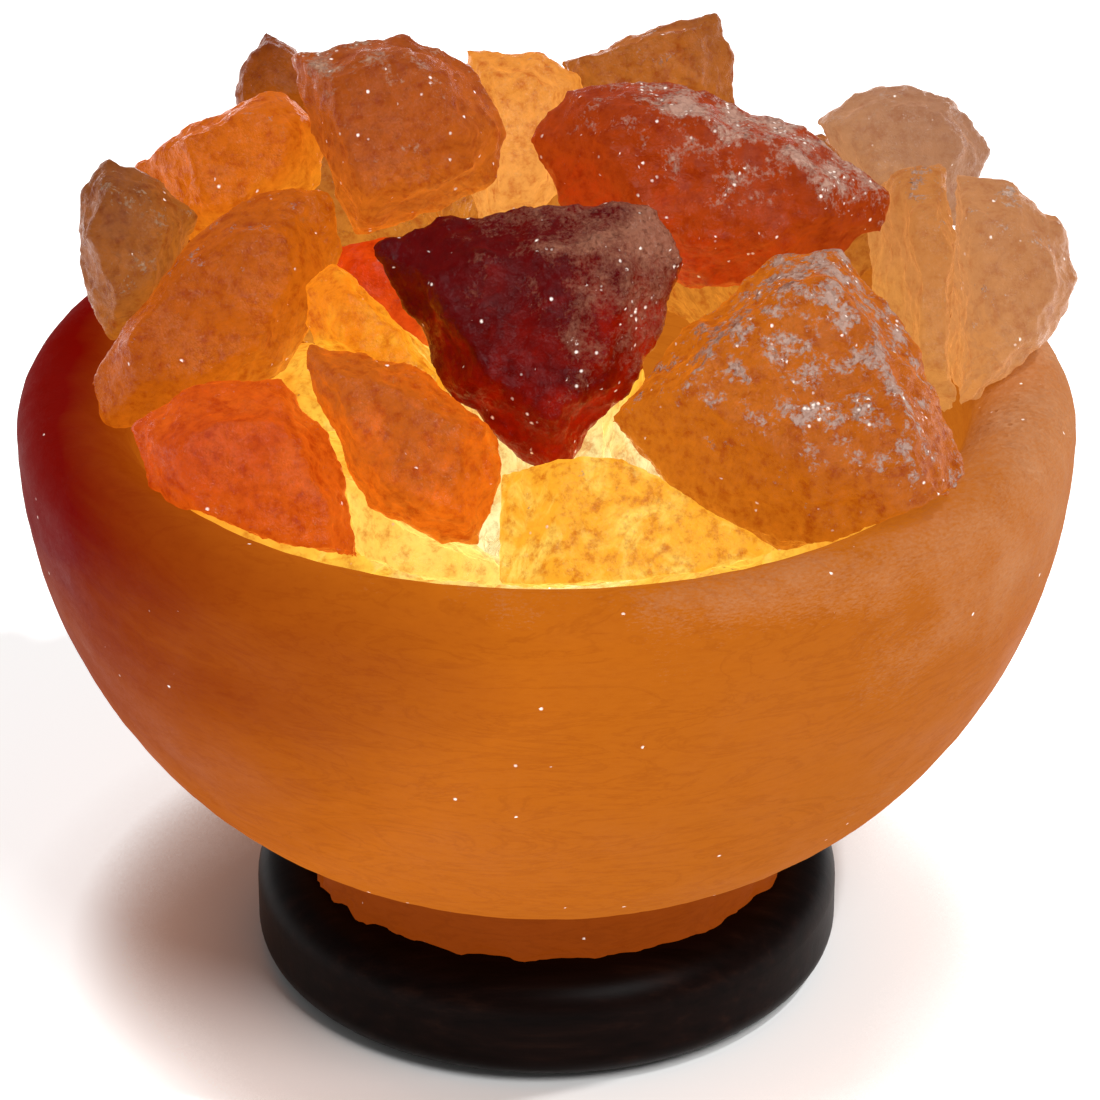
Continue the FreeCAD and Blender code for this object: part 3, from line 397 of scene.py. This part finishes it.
# %% How much light gets out
place = add(lit_salt, "ShaderNodeTexCoord").outputs["Object"]
away = add(lit_salt, "ShaderNodeVectorMath", {0: place, 1: BULB}, operation="DISTANCE")
close = add(lit_salt, "ShaderNodeMapRange", {
    "Value": away.outputs["Value"], "From Min": inside["Near"], "From Max": inside["Far"],
    "To Min": 1.0, "To Max": 0.0,
})
from_middle = add(lit_salt, "ShaderNodeVectorMath", {0: place, 1: inside["Middle"]},
                  operation="SUBTRACT").outputs["Vector"]
lean = add(lit_salt, "ShaderNodeVectorMath", {0: from_middle, 1: inside["Glow Lean"]},
           operation="DOT_PRODUCT")
leaning = add(lit_salt, "ShaderNodeMath", {
    0: close.outputs["Result"], 1: lean.outputs["Value"],
}, operation="ADD")
drawn = add(lit_salt, "ShaderNodeVectorMath", {0: place, 1: inside["Stretch"]},
            operation="MULTIPLY").outputs["Vector"]
cloud = add(lit_salt, "ShaderNodeTexNoise", {
    "Vector": drawn, "Scale": inside["Cloud Scale"], "Detail": 5.0, "Roughness": 0.6,
    "Distortion": 0.8,
})
swing = add(lit_salt, "ShaderNodeMath", {0: cloud.outputs["Fac"], 1: 2.0, 2: -1.0},
            operation="MULTIPLY_ADD")
light = add(lit_salt, "ShaderNodeMath", {
    0: swing.outputs["Value"], 1: inside["Clouds"], 2: leaning.outputs["Value"],
}, operation="MULTIPLY_ADD").outputs["Value"]
print("nodes for the light:", len(lit_salt.nodes))

# %% The colour of that light
low = add(lit_salt, "ShaderNodeMapRange", {"Value": light, "From Min": 0.0, "From Max": 0.5})
high = add(lit_salt, "ShaderNodeMapRange", {"Value": light, "From Min": 0.5, "From Max": 1.0})
tint = add(lit_salt, "ShaderNodeMix", {
    0: low.outputs["Result"], 6: inside["Deep"], 7: inside["Body"],
}, data_type="RGBA")
tint = add(lit_salt, "ShaderNodeMix", {
    0: high.outputs["Result"], 6: tint.outputs[2], 7: inside["Bright"],
}, data_type="RGBA")
print("colours on the way to the bulb:", *list(SALT_INPUTS.values())[:3])

# %% [markdown]
# Iron oxide lies in the salt as thin sheets, which show as dark wandering lines, and as a fine
# mottle. A line is where a noise passes its middle value.

# %% Iron in the salt
sheets = add(lit_salt, "ShaderNodeTexNoise", {
    "Vector": drawn, "Scale": per_mm(22), "Detail": 6.0, "Roughness": 0.62, "Distortion": 1.6,
})
off_line = add(lit_salt, "ShaderNodeMath", {0: sheets.outputs["Fac"], 1: 0.5},
               operation="SUBTRACT")
off_line = add(lit_salt, "ShaderNodeMath", {0: off_line.outputs["Value"]}, operation="ABSOLUTE")
vein = add(lit_salt, "ShaderNodeMapRange", {
    "Value": off_line.outputs["Value"], "From Min": 0.0, "From Max": 0.035,
    "To Min": inside["Veins"], "To Max": 0.0,
})
tint = add(lit_salt, "ShaderNodeMix", {
    0: vein.outputs["Result"], 6: tint.outputs[2], 7: inside["Deep"],
}, data_type="RGBA")
mottle = add(lit_salt, "ShaderNodeTexNoise", {
    "Vector": drawn, "Scale": per_mm(2.4), "Detail": 4.0, "Roughness": 0.7,
})
iron = add(lit_salt, "ShaderNodeValToRGB", {"Fac": mottle.outputs["Fac"]},
           stops=[(0.3, "#D0946C"), (0.5, 1.0), (0.72, 1.25)])
tint = add(lit_salt, "ShaderNodeMix", {
    0: inside["Mottle"], 6: tint.outputs[2], 7: iron.outputs["Color"],
}, data_type="RGBA", blend_type="MULTIPLY").outputs[2]
print("nodes with the iron:", len(lit_salt.nodes))

# %% [markdown]
# Frost is a crust of fine crystals, where damp salt dried. It keeps the glow in, takes the light
# of the room, and sits mostly on faces that look up. Its patches come from a broad noise and its
# ragged, grainy rim from a fine one. Frost lies where their sum passes a line.

# %% Frost
FROST_LINE = 0.84
MORE_ON_TOP = 0.14
MORE_IF_FROSTY = 0.34
RAGGED = 0.6
patch = add(lit_salt, "ShaderNodeTexNoise", {
    "Vector": place, "Scale": inside["Frost Scale"], "Detail": 3.0, "Roughness": 0.6,
})
grain = add(lit_salt, "ShaderNodeTexNoise", {
    "Vector": drawn, "Scale": per_mm(0.7), "Detail": 3.0, "Roughness": 0.7,
})
crystals = add(lit_salt, "ShaderNodeMath", {
    0: grain.outputs["Fac"], 1: RAGGED, 2: -RAGGED / 2,
}, operation="MULTIPLY_ADD")
patch_and_grain = add(lit_salt, "ShaderNodeMath", {
    0: patch.outputs["Fac"], 1: crystals.outputs["Value"],
}, operation="ADD")
facing = add(lit_salt, "ShaderNodeNewGeometry").outputs["Normal"]
upward = add(lit_salt, "ShaderNodeSeparateXYZ", {"Vector": facing})
rising = add(lit_salt, "ShaderNodeMath", {
    0: upward.outputs["Z"], 1: MORE_ON_TOP, 2: patch_and_grain.outputs["Value"],
}, operation="MULTIPLY_ADD")
lean = add(lit_salt, "ShaderNodeVectorMath", {0: from_middle, 1: inside["Frost Lean"]},
           operation="DOT_PRODUCT")
rising = add(lit_salt, "ShaderNodeMath", {
    0: rising.outputs["Value"], 1: lean.outputs["Value"],
}, operation="ADD")
crusted = add(lit_salt, "ShaderNodeMath", {
    0: inside["Frost"], 1: MORE_IF_FROSTY, 2: rising.outputs["Value"],
}, operation="MULTIPLY_ADD")
full = add(lit_salt, "ShaderNodeMath", {0: FROST_LINE, 1: inside["Frost Blend"]},
           operation="ADD")
frosted = add(lit_salt, "ShaderNodeMapRange", {
    "Value": crusted.outputs["Value"], "From Min": FROST_LINE,
    "From Max": full.outputs["Value"], "To Max": 0.8,
}).outputs["Result"]
print("nodes with the frost:", len(lit_salt.nodes))

# %% [markdown]
# Here and there a crystal's face sparkles, and that sparkle is painted. The salt is divided into
# cells as wide as its crystals, each with a chance number of its own. Where that number is low
# enough, the middle of the cell is made white and given a pale light of its own, a painted glint. A
# second, broad noise gathers the sparkles in crowds.

# %% Bright specks and painted glints
CRYSTAL = 0.8
cells = add(lit_salt, "ShaderNodeTexVoronoi", {"Vector": place, "Scale": per_mm(CRYSTAL)})
chance = add(lit_salt, "ShaderNodeSeparateColor", {"Color": cells.outputs["Color"]})
cluster = add(lit_salt, "ShaderNodeTexNoise", {
    "Vector": place, "Scale": per_mm(7), "Detail": 2.0, "Roughness": 0.6,
})
crowd = add(lit_salt, "ShaderNodeMapRange", {
    "Value": cluster.outputs["Fac"], "From Min": 0.5, "From Max": 0.7, "To Min": 0.0,
    "To Max": 0.5,
})
spread = add(lit_salt, "ShaderNodeMath", {0: frosted, 1: 0.85, 2: 0.15}, operation="MULTIPLY_ADD")
spread = add(lit_salt, "ShaderNodeMath", {
    0: spread.outputs["Value"], 1: crowd.outputs["Result"],
}, operation="MULTIPLY")
spread = add(lit_salt, "ShaderNodeMath", {0: spread.outputs["Value"], 1: inside["Specks"]},
             operation="MULTIPLY")
chosen = add(lit_salt, "ShaderNodeMath", {
    0: chance.outputs["Red"], 1: spread.outputs["Value"],
}, operation="LESS_THAN")
core = add(lit_salt, "ShaderNodeMapRange", {
    "Value": cells.outputs["Distance"], "From Min": 0.15, "From Max": 0.5,
    "To Min": 1.0, "To Max": 0.0,
})
speck_and_painted_glint = add(lit_salt, "ShaderNodeMath", {
    0: chosen.outputs["Value"], 1: core.outputs["Result"],
}, operation="MULTIPLY").outputs["Value"]
print("nodes with the specks:", len(lit_salt.nodes))

# %% [markdown]
# The salt then hands out four things: the colour of its skin in the light of the room, how rough it
# is, which way its surface faces, and the painted glow that stands for the light from inside. Frost
# covers that glow as well as the skin, and a speck turns the skin white and puts a painted glint in
# the glow. The same cells that sparkle also tilt the surface, so that broken salt glitters as a
# heap of small crystal faces and not as wet plastic.

# %% The skin and the glow together
skin = add(lit_salt, "ShaderNodeMix", {0: inside["Skin"], 6: [0, 0, 0, 1], 7: tint},
           data_type="RGBA")
skin = add(lit_salt, "ShaderNodeMix", {
    0: frosted, 6: skin.outputs[2], 7: inside["Frost Colour"],
}, data_type="RGBA")
skin = add(lit_salt, "ShaderNodeMix", {0: speck_and_painted_glint, 6: skin.outputs[2], 7: linear("#F4EEE8")},
           data_type="RGBA")
# The light that comes out of the salt is painted glow, and frost dims it.
painted_glow = add(lit_salt, "ShaderNodeMix", {0: frosted, 6: tint, 7: linear("#1C0C06")},
            data_type="RGBA")
# A speck's pale light is a painted glint.
painted_glow = add(lit_salt, "ShaderNodeMix", {0: speck_and_painted_glint, 6: painted_glow.outputs[2], 7: linear("#A89080")},
            data_type="RGBA")
relief = add(lit_salt, "ShaderNodeMath", {
    0: cells.outputs["Distance"], 1: frosted, 2: grain.outputs["Fac"],
}, operation="MULTIPLY_ADD")
bump = add(lit_salt, "ShaderNodeBump", {
    "Height": relief.outputs["Value"], "Strength": inside["Relief"], "Distance": 0.4 * MM,
})
tilt = add(lit_salt, "ShaderNodeVectorMath", {0: cells.outputs["Color"], 1: (0.5, 0.5, 0.5)},
           operation="SUBTRACT")
loose = add(lit_salt, "ShaderNodeMath", {0: frosted, 1: 0.6, 2: inside["Facets"]},
            operation="MULTIPLY_ADD")
tilt = add(lit_salt, "ShaderNodeVectorMath", {
    0: tilt.outputs["Vector"], "Scale": loose.outputs["Value"],
}, operation="SCALE")
facet = add(lit_salt, "ShaderNodeVectorMath", {
    0: bump.outputs["Normal"], 1: tilt.outputs["Vector"],
}, operation="ADD")
facet = add(lit_salt, "ShaderNodeVectorMath", {0: facet.outputs["Vector"]},
            operation="NORMALIZE")
half = add(lit_salt, "ShaderNodeMath", {0: patch.outputs["Fac"], 1: 1.4, 2: 0.2},
           operation="MULTIPLY_ADD")
rough = add(lit_salt, "ShaderNodeMath", {0: half.outputs["Value"], 1: inside["Gloss"]},
            operation="MULTIPLY")
add(lit_salt, "NodeGroupOutput", {
    "Skin Colour": skin.outputs[2], "Roughness": rough.outputs["Value"],
    "Normal": facet.outputs["Vector"], "Light": painted_glow.outputs[2],
})
print("salt nodes:", len(lit_salt.nodes))


# %% [markdown]
# Halite has an index of 1.544 and is no metal. Broken salt is glossy in its clean places and dull
# where it is frosted, and light that creeps round the edges of a pale stone is given as a sheen.


# %% A salt of one's own
HALITE_INDEX = 1.544


def salt(name, glow=0.92, shine=0.1, sheen=0.0, **look):
    """A material of lit salt. Sizes are in millimetres, and leans are shares per millimetre."""
    sockets = {}
    for key, value in look.items():
        title = key.replace("_", " ").title()
        if key.endswith("_mm"):
            title, value = title.replace("Mm", "Scale"), per_mm(value)
        elif key.endswith("_lean"):
            value = Vector(value) / MM
        elif key in ("near", "far"):
            value *= MM
        elif isinstance(value, str):
            value = linear(value)
        sockets[title] = value
    material, tree = new_material(name)
    lit = add(tree, "ShaderNodeGroup", sockets, node_tree=lit_salt).outputs
    shader = add(tree, "ShaderNodeBsdfPrincipled", {
        "Base Color": lit["Skin Colour"], "Roughness": lit["Roughness"], "Normal": lit["Normal"],
        "IOR": HALITE_INDEX, "Specular IOR Level": shine, "Sheen Weight": sheen,
        "Sheen Roughness": 0.4, "Sheen Tint": linear("#D8C0B8"),
        "Emission Color": lit["Light"], "Emission Strength": glow,
    })
    add(tree, "ShaderNodeOutputMaterial", {"Surface": shader.outputs["BSDF"]})
    return material


print("index of halite:", HALITE_INDEX)

# %% [markdown]
# Each stone of the heap has its own colours, read off the lamp, and they are mostly its painted
# glow: deep at its end away from the bulb, bright at its end near it. The stone over the bulb is
# almost black with iron. Those at the back are pale and frosted, and the low ones in front are so
# close to the bulb that they burn yellow.

# %% Salts at the front of the heap
SALTS = {
    "centre": dict(deep="#5A0000", body="#8E0E00", bright="#B01800", clouds=0.9, cloud_mm=12,
                   glow_lean=(0.008, 0, -0.01), veins=0.2, frost=0.3, frost_colour="#94604A",
                   frost_mm=8, frost_blend=0.3, frost_lean=(0.014, 0, 0.008), specks=1.0,
                   gloss=0.12, shine=0.09, facets=0.45, relief=0.9),
    "front_left": dict(deep="#CC4A0C", body="#DE5C10", bright="#D6520C", clouds=0.8, cloud_mm=12,
                       glow_lean=(0.002, 0, 0.006), frost=0.0),
    "ember": dict(deep="#C45C14", body="#F06C10", bright="#F88A22", clouds=0.85, cloud_mm=11,
                  glow_lean=(0, 0, -0.003), frost=0.0),
    "front": dict(deep="#F8A82C", body="#FFD660", bright="#FFFCD0", clouds=1.2, cloud_mm=8,
                  glow_lean=(0.004, 0, -0.01), frost=0.0, glow=1.05, veins=0.6, mottle=0.8),
    "big_right": dict(deep="#BC5C0C", body="#CE6C14", bright="#DC7C1C", clouds=0.35, frost=0.42,
                      frost_colour="#AC958A", frost_mm=4, frost_blend=0.12,
                      frost_lean=(0.002, 0, 0.006), specks=1.0),
    "left_slab": dict(deep="#B4520A", body="#D0640E", bright="#E68018", clouds=0.45, cloud_mm=17,
                      frost=0.1, frost_lean=(-0.003, 0, 0.003)),
    "red_gap": dict(deep="#D43604", body="#EC5414", bright="#FF8C24", frost=0.0),
    "hot_ridge": dict(deep="#F08214", body="#FCA828", bright="#FFE878", frost=0.0, glow=1.0,
                      clouds=0.8, cloud_mm=9),
    "glow": dict(deep="#FFC04C", body="#FFDE72", bright="#FFF8C4", frost=0.0, glow=1.1),
    "bed": dict(deep="#F08A1C", body="#FFC444", bright="#FFF4B0", frost=0.0, glow=1.05),
}
print("salts in front:", len(SALTS))

# %% Salts at the back of the heap
SALTS.update({
    "crown": dict(deep="#A04812", body="#B65415", bright="#DC7018", clouds=0.5, cloud_mm=14,
                  frost=0.25, frost_colour="#B49078", frost_blend=0.2,
                  frost_lean=(-0.004, 0, 0.006), specks=0.9, sheen=0.05),
    "left_peak": dict(deep="#7A3408", body="#9A4A10", bright="#B0540C", frost=0.1),
    "left_back": dict(deep="#C85E0C", body="#DA6A12", bright="#F28C1E", frost=0.05,
                      frost_lean=(0, 0, 0.004)),
    "left_edge": dict(deep="#84461C", body="#A05820", bright="#BC6618", frost=0.4,
                      frost_colour="#9C7E64", sheen=0.04),
    "right_crest": dict(deep="#9E360A", body="#B03C0A", bright="#C82C04", clouds=0.5, frost=0.3,
                        frost_colour="#B89482", frost_lean=(0.006, 0, 0.012), frost_blend=0.18,
                        specks=1.0),
    "back_peak": dict(deep="#9A521A", body="#B46222", bright="#C87226", frost=0.25, sheen=0.03),
    "gap": dict(deep="#E88C30", body="#FAA24C", bright="#F4A048", frost=0.0, clouds=0.3),
    "right_back": dict(deep="#AC7656", body="#B8805A", bright="#C88A58", frost=0.3, clouds=0.3,
                       frost_colour="#C0A494", frost_blend=0.2, sheen=0.15, mottle=0.4, specks=0.7),
    "right_inner": dict(deep="#C47A3C", body="#CE8548", bright="#E09444", frost=0.1, clouds=0.3,
                        frost_lean=(0, 0, 0.005), sheen=0.06, mottle=0.4),
    "right_edge": dict(deep="#BE7E50", body="#CE8A54", bright="#E09048", frost=0.3, clouds=0.3,
                       frost_colour="#C0A494", sheen=0.15, mottle=0.4, specks=0.7),
    "rear": dict(deep="#A85A18", body="#C07028", bright="#DC8428", frost=0.25),
})
print("salts in all:", len(SALTS))

# %% Dress the stones
def reach_of(piece):
    """How near to the bulb, and how far from it, a piece comes, in millimetres."""
    reach = [(vertex.co - BULB).length / MM for vertex in piece.data.vertices]
    return {"near": min(reach), "far": max(reach)}


for node, stone in stones.items():
    low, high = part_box(node)
    kind = node.replace("chunk_", "")
    look = SALTS[kind if kind in SALTS else kind.split("_")[0]]
    name = "rock_salt_" + kind
    stone.data.materials.append(salt(name, middle=(low + high) / 2, **reach_of(stone), **look))
print("salts:", len(SALTS), "on", len(stones), "stones")

# %% [markdown]
# The bowl is turned and rubbed smooth, so it is satin and hardly sparkles. Its glow and its pale
# frost both lean to the right: painted light on the right, where the room's lamps fall, and painted
# shade on the left. Its clouds are drawn out level. The foot stands in the bowl's shadow, and that
# shade is painted with a darker salt, which goes on the faces below the bowl and outside its
# screws.

# %% Turned salt of the bowl
low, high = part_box("salt_bowl")
TURNED = dict(
    middle=(low + high) / 2, near=45, far=150, clouds=0.16, cloud_mm=60, frost=0.1,
    frost_colour="#B8845E", frost_mm=30, frost_blend=0.45, frost_lean=(0.0045, 0, 0.002),
    specks=0.07, gloss=0.8, shine=0.03, stretch=(0.8, 0.8, 3), veins=0.12, mottle=0.14, relief=0.2,
    skin=0.03, sheen=0.0, facets=0.08,
)
# The glow that leans to the right is painted light from the room's lamps, and the bowl grows darker
# to the left.
bowl.data.materials.append(
    salt("turned_rock_salt", deep="#780600", body="#CE6C12", bright="#C46A1A",
         glow_lean=(0.0065, 0, 0), **TURNED)
)
# The foot's darker salt is painted shade under the bowl.
bowl.data.materials.append(
    salt("turned_rock_salt_foot", deep="#501800", body="#7A3006", bright="#98420C",
         glow_lean=(0.003, 0, 0), **TURNED)
)
FOOT_TOP = 9.4
for face in bowl.data.polygons:
    height = (face.center.z - foot_low) / MM
    out = face.center.xy.length / MM
    if height < FOOT_TOP and out > FOOT_INSIDE:
        face.material_index = 1
print("faces of the foot:", sum(face.material_index for face in bowl.data.polygons))

# %% [markdown]
# ## The base and the parts inside
#
# The base is turned hardwood, stained nearly black and waxed, which leaves a soft low gloss. Its
# grain is a noise stretched along the board. The parts inside show only when the lamp is taken
# apart, and each one's finish is named for what it is made of. They share one recipe: two close
# colours in marks of a real size, the same marks as a slight unevenness, and the gloss that the
# real material has. A metal keeps the shader's own index.

# %% Stained hardwood
ALONG_THE_BOARD = 0.07
wood, tree = new_material("stained_waxed_hardwood")
place = add(tree, "ShaderNodeTexCoord").outputs["Object"]
board = add(tree, "ShaderNodeMapping", {"Vector": place, "Scale": (ALONG_THE_BOARD, 1.0, 1.0)})
figure = add(tree, "ShaderNodeTexNoise", {
    "Vector": board.outputs["Vector"], "Scale": per_mm(2.5), "Detail": 6.0, "Roughness": 0.6,
})
stain = add(tree, "ShaderNodeValToRGB", {"Fac": figure.outputs["Fac"]},
            stops=[(0.3, "#060201"), (0.55, "#100604"), (0.75, "#1E0F09")])
pores = add(tree, "ShaderNodeBump", {
    "Height": figure.outputs["Fac"], "Strength": 0.25, "Distance": 0.2 * MM,
})
shader = add(tree, "ShaderNodeBsdfPrincipled", {
    "Base Color": stain.outputs["Color"], "Roughness": 0.4, "IOR": 1.5,
    "Specular IOR Level": 0.04, "Normal": pores.outputs["Normal"],
})
add(tree, "ShaderNodeOutputMaterial", {"Surface": shader.outputs["BSDF"]})
print("wood nodes:", len(tree.nodes))

# %% The other finishes
FINISHES = {
    # Felt is dull and soft, with a fleck of pressed fibres.
    "grey_felt": ("pressed_grey_felt", "#38383A", "#5E5E62", 0.6, 0.9,
                  {"Roughness": 1.0, "IOR": 1.5, "Sheen Weight": 0.3}),
    # Zinc plate is a pale satin metal, a little cloudy.
    "zinced_steel": ("zinc_plated_steel", "#A2A4A8", "#C2C4C8", 2.5, 0.1,
                     {"Metallic": 1.0, "Roughness": 0.35}),
    # Rubber is black and dull, and its skin shows the grain of the mould.
    "black_rubber": ("moulded_black_rubber", "#101010", "#1C1C1C", 0.8, 0.3,
                     {"Roughness": 0.65, "IOR": 1.52}),
    # Phenolic is a hard plastic, brown-black, with a low gloss and faint flow marks.
    "black_phenolic": ("moulded_black_phenolic", "#0E0C0B", "#1A1715", 4.0, 0.06,
                       {"Roughness": 0.32, "IOR": 1.6}),
    # Brass comes bright from the press and tarnishes in soft patches.
    "brass": ("pressed_brass", "#B8904E", "#DDB872", 3.0, 0.06,
              {"Metallic": 1.0, "Roughness": 0.28}),
    # Ceramic without a glaze is chalky, with fine grains.
    "white_ceramic": ("unglazed_white_ceramic", "#DDD8CE", "#EFECE6", 0.7, 0.3,
                      {"Roughness": 0.6, "IOR": 1.6}),
    # Spring strip is blued by its tempering, unevenly.
    "spring_steel": ("blued_spring_steel", "#50525E", "#7C7E86", 2.0, 0.05,
                     {"Metallic": 1.0, "Roughness": 0.3}),
    # Solder sets dull and a little lumpy.
    "solder": ("tin_solder", "#A4A4A2", "#C0C0BE", 1.0, 0.4,
               {"Metallic": 1.0, "Roughness": 0.4}),
    # The ring under a bulb's cap is black glass, smooth and glossy.
    "black_glass": ("pressed_black_glass", "#08080A", "#101014", 2.0, 0.02,
                    {"Roughness": 0.1, "IOR": 1.52}),
    # Drawn wire is bright, with marks along it too fine to see.
    "nickel_wire": ("drawn_nickel_wire", "#A49D94", "#BEB7AE", 0.5, 0.1,
                    {"Metallic": 1.0, "Roughness": 0.3}),
}
finishes = {"stained_hardwood": wood}
for slot, (name, dark, pale, mark_mm, depth, own) in FINISHES.items():
    material, tree = new_material(name)
    place = add(tree, "ShaderNodeTexCoord").outputs["Object"]
    marks = add(tree, "ShaderNodeTexNoise", {
        "Vector": place, "Scale": per_mm(mark_mm), "Detail": 4.0, "Roughness": 0.6,
    }).outputs["Fac"]
    colour = add(tree, "ShaderNodeValToRGB", {"Fac": marks}, stops=[(0.3, dark), (0.7, pale)])
    uneven = add(tree, "ShaderNodeBump", {
        "Height": marks, "Strength": depth, "Distance": 0.1 * MM,
    })
    shader = add(tree, "ShaderNodeBsdfPrincipled", {
        "Base Color": colour.outputs["Color"], "Normal": uneven.outputs["Normal"], **own,
    })
    add(tree, "ShaderNodeOutputMaterial", {"Surface": shader.outputs["BSDF"]})
    finishes[slot] = material
print("finishes with marks:", len(FINISHES))

# %% [markdown]
# The bulb's glass is blown, clear and smooth, so it has nothing but its index. The filament is
# tungsten at white heat, which only gives off light.

# %% Clear glass and the filament
glass, tree = new_material("clear_blown_glass")
shader = add(tree, "ShaderNodeBsdfPrincipled", {
    "Base Color": linear("#FFFFFF"), "Roughness": 0.0, "IOR": 1.52, "Transmission Weight": 1.0,
})
add(tree, "ShaderNodeOutputMaterial", {"Surface": shader.outputs["BSDF"]})
finishes["clear_glass"] = glass
tungsten, tree = new_material("white_hot_tungsten")
shader = add(tree, "ShaderNodeEmission", {"Color": linear("#FFD9A0"), "Strength": 12.0})
add(tree, "ShaderNodeOutputMaterial", {"Surface": shader.outputs["Emission"]})
finishes["hot_filament"] = tungsten
print("finishes:", *sorted(finishes))

# %% Put the finishes on the frame's own pieces
for node, piece in frame["nodes"].items():
    if slot_of(node) in finishes:
        piece.data.materials.clear()
        piece.data.materials.append(finishes[slot_of(node)])
print("pieces with a finish:", sum(slot_of(node) in finishes for node in frame["nodes"]))

# %% [markdown]
# ## The room
#
# The lamp stands on a pale floor under an even white sky. A wide soft lamp shines from the front
# and the right, so the shadow falls soft to the left and behind, and a small bright lamp beside it
# makes the crystals sparkle. A photograph for a catalogue has a floor that is burnt out to white.
# So the floor paint gives off light of its own where it lies open. Close to the base, where little
# of the sky reaches it, that light turns brown and then dark, a painted shadow.

# %% Floor
bpy.ops.object.select_all(action="DESELECT")
bpy.ops.mesh.primitive_plane_add(size=6.0, location=(0, 0, 0))
floor = bpy.context.active_object
floor.name = "pale_floor"
paint, tree = new_material("pale_floor_paint")
# The floor's own light turns brown, then black, where the lamp closes it in: a painted shadow.
openness = add(tree, "ShaderNodeAmbientOcclusion", {"Distance": 48 * MM}, samples=8)
lit = add(tree, "ShaderNodeValToRGB", {"Fac": openness.outputs["AO"]},
          stops=[(0.62, "#000000"), (0.82, "#7A5A48"), (0.95, "#FFFFFF")])
shader = add(tree, "ShaderNodeBsdfPrincipled", {
    "Base Color": linear("#E8E8E7"), "Roughness": 0.9, "Specular IOR Level": 0.2,
    "Emission Color": lit.outputs["Color"], "Emission Strength": 0.74,
})
add(tree, "ShaderNodeOutputMaterial", {"Surface": shader.outputs["BSDF"]})
floor.data.materials.append(paint)
print("floor:", floor.name)

# %% Sky and lamps
world = bpy.data.worlds.new("soft_sky")
world.use_nodes = True
sky = world.node_tree.nodes["Background"].inputs
sky["Color"].default_value = linear("#FFFFFF")
sky["Strength"].default_value = 0.24
bpy.context.scene.world = world


def far_lamp(name, from_where, energy, width_degrees):
    """A lamp as far off as the sun. The wider it looks, the softer its shadow."""
    bpy.ops.object.light_add(type="SUN", location=from_where)
    lamp = bpy.context.active_object
    lamp.name = name
    lamp.data.energy = energy
    lamp.data.angle = math.radians(width_degrees)
    lamp.rotation_euler = Vector(from_where).to_track_quat("Z", "Y").to_euler()
    return lamp


lamps = [
    far_lamp("soft_window", (0.4, -0.6, 0.8), 2.2, 22),
    far_lamp("small_bright_lamp", (0.35, -0.3, 0.85), 1.3, 2),
]
print("lamps:", *[lamp.name for lamp in lamps])

# %% [markdown]
# The camera looks down on the lamp from the front, through a long lens, which keeps the bowl's
# sides from bulging.

# %% Camera
ELEVATION = math.radians(28.03)
AIM = Vector((0.6, 0, 77.5)) * MM
DISTANCE = 900 * MM
LENS_MM = 170.6
camera_data = bpy.data.cameras.new("camera")
camera_data.sensor_width = 36
camera_data.lens = LENS_MM
camera = bpy.data.objects.new("camera", camera_data)
bpy.context.scene.collection.objects.link(camera)
camera.location = AIM + Vector((0, -math.cos(ELEVATION), math.sin(ELEVATION))) * DISTANCE
camera.rotation_euler = (AIM - camera.location).to_track_quat("-Z", "Y").to_euler()
bpy.context.scene.camera = camera
bpy.context.scene.view_settings.view_transform = "Standard"
print("camera:", round(math.degrees(ELEVATION), 1), "degrees up,", LENS_MM, "mm lens")
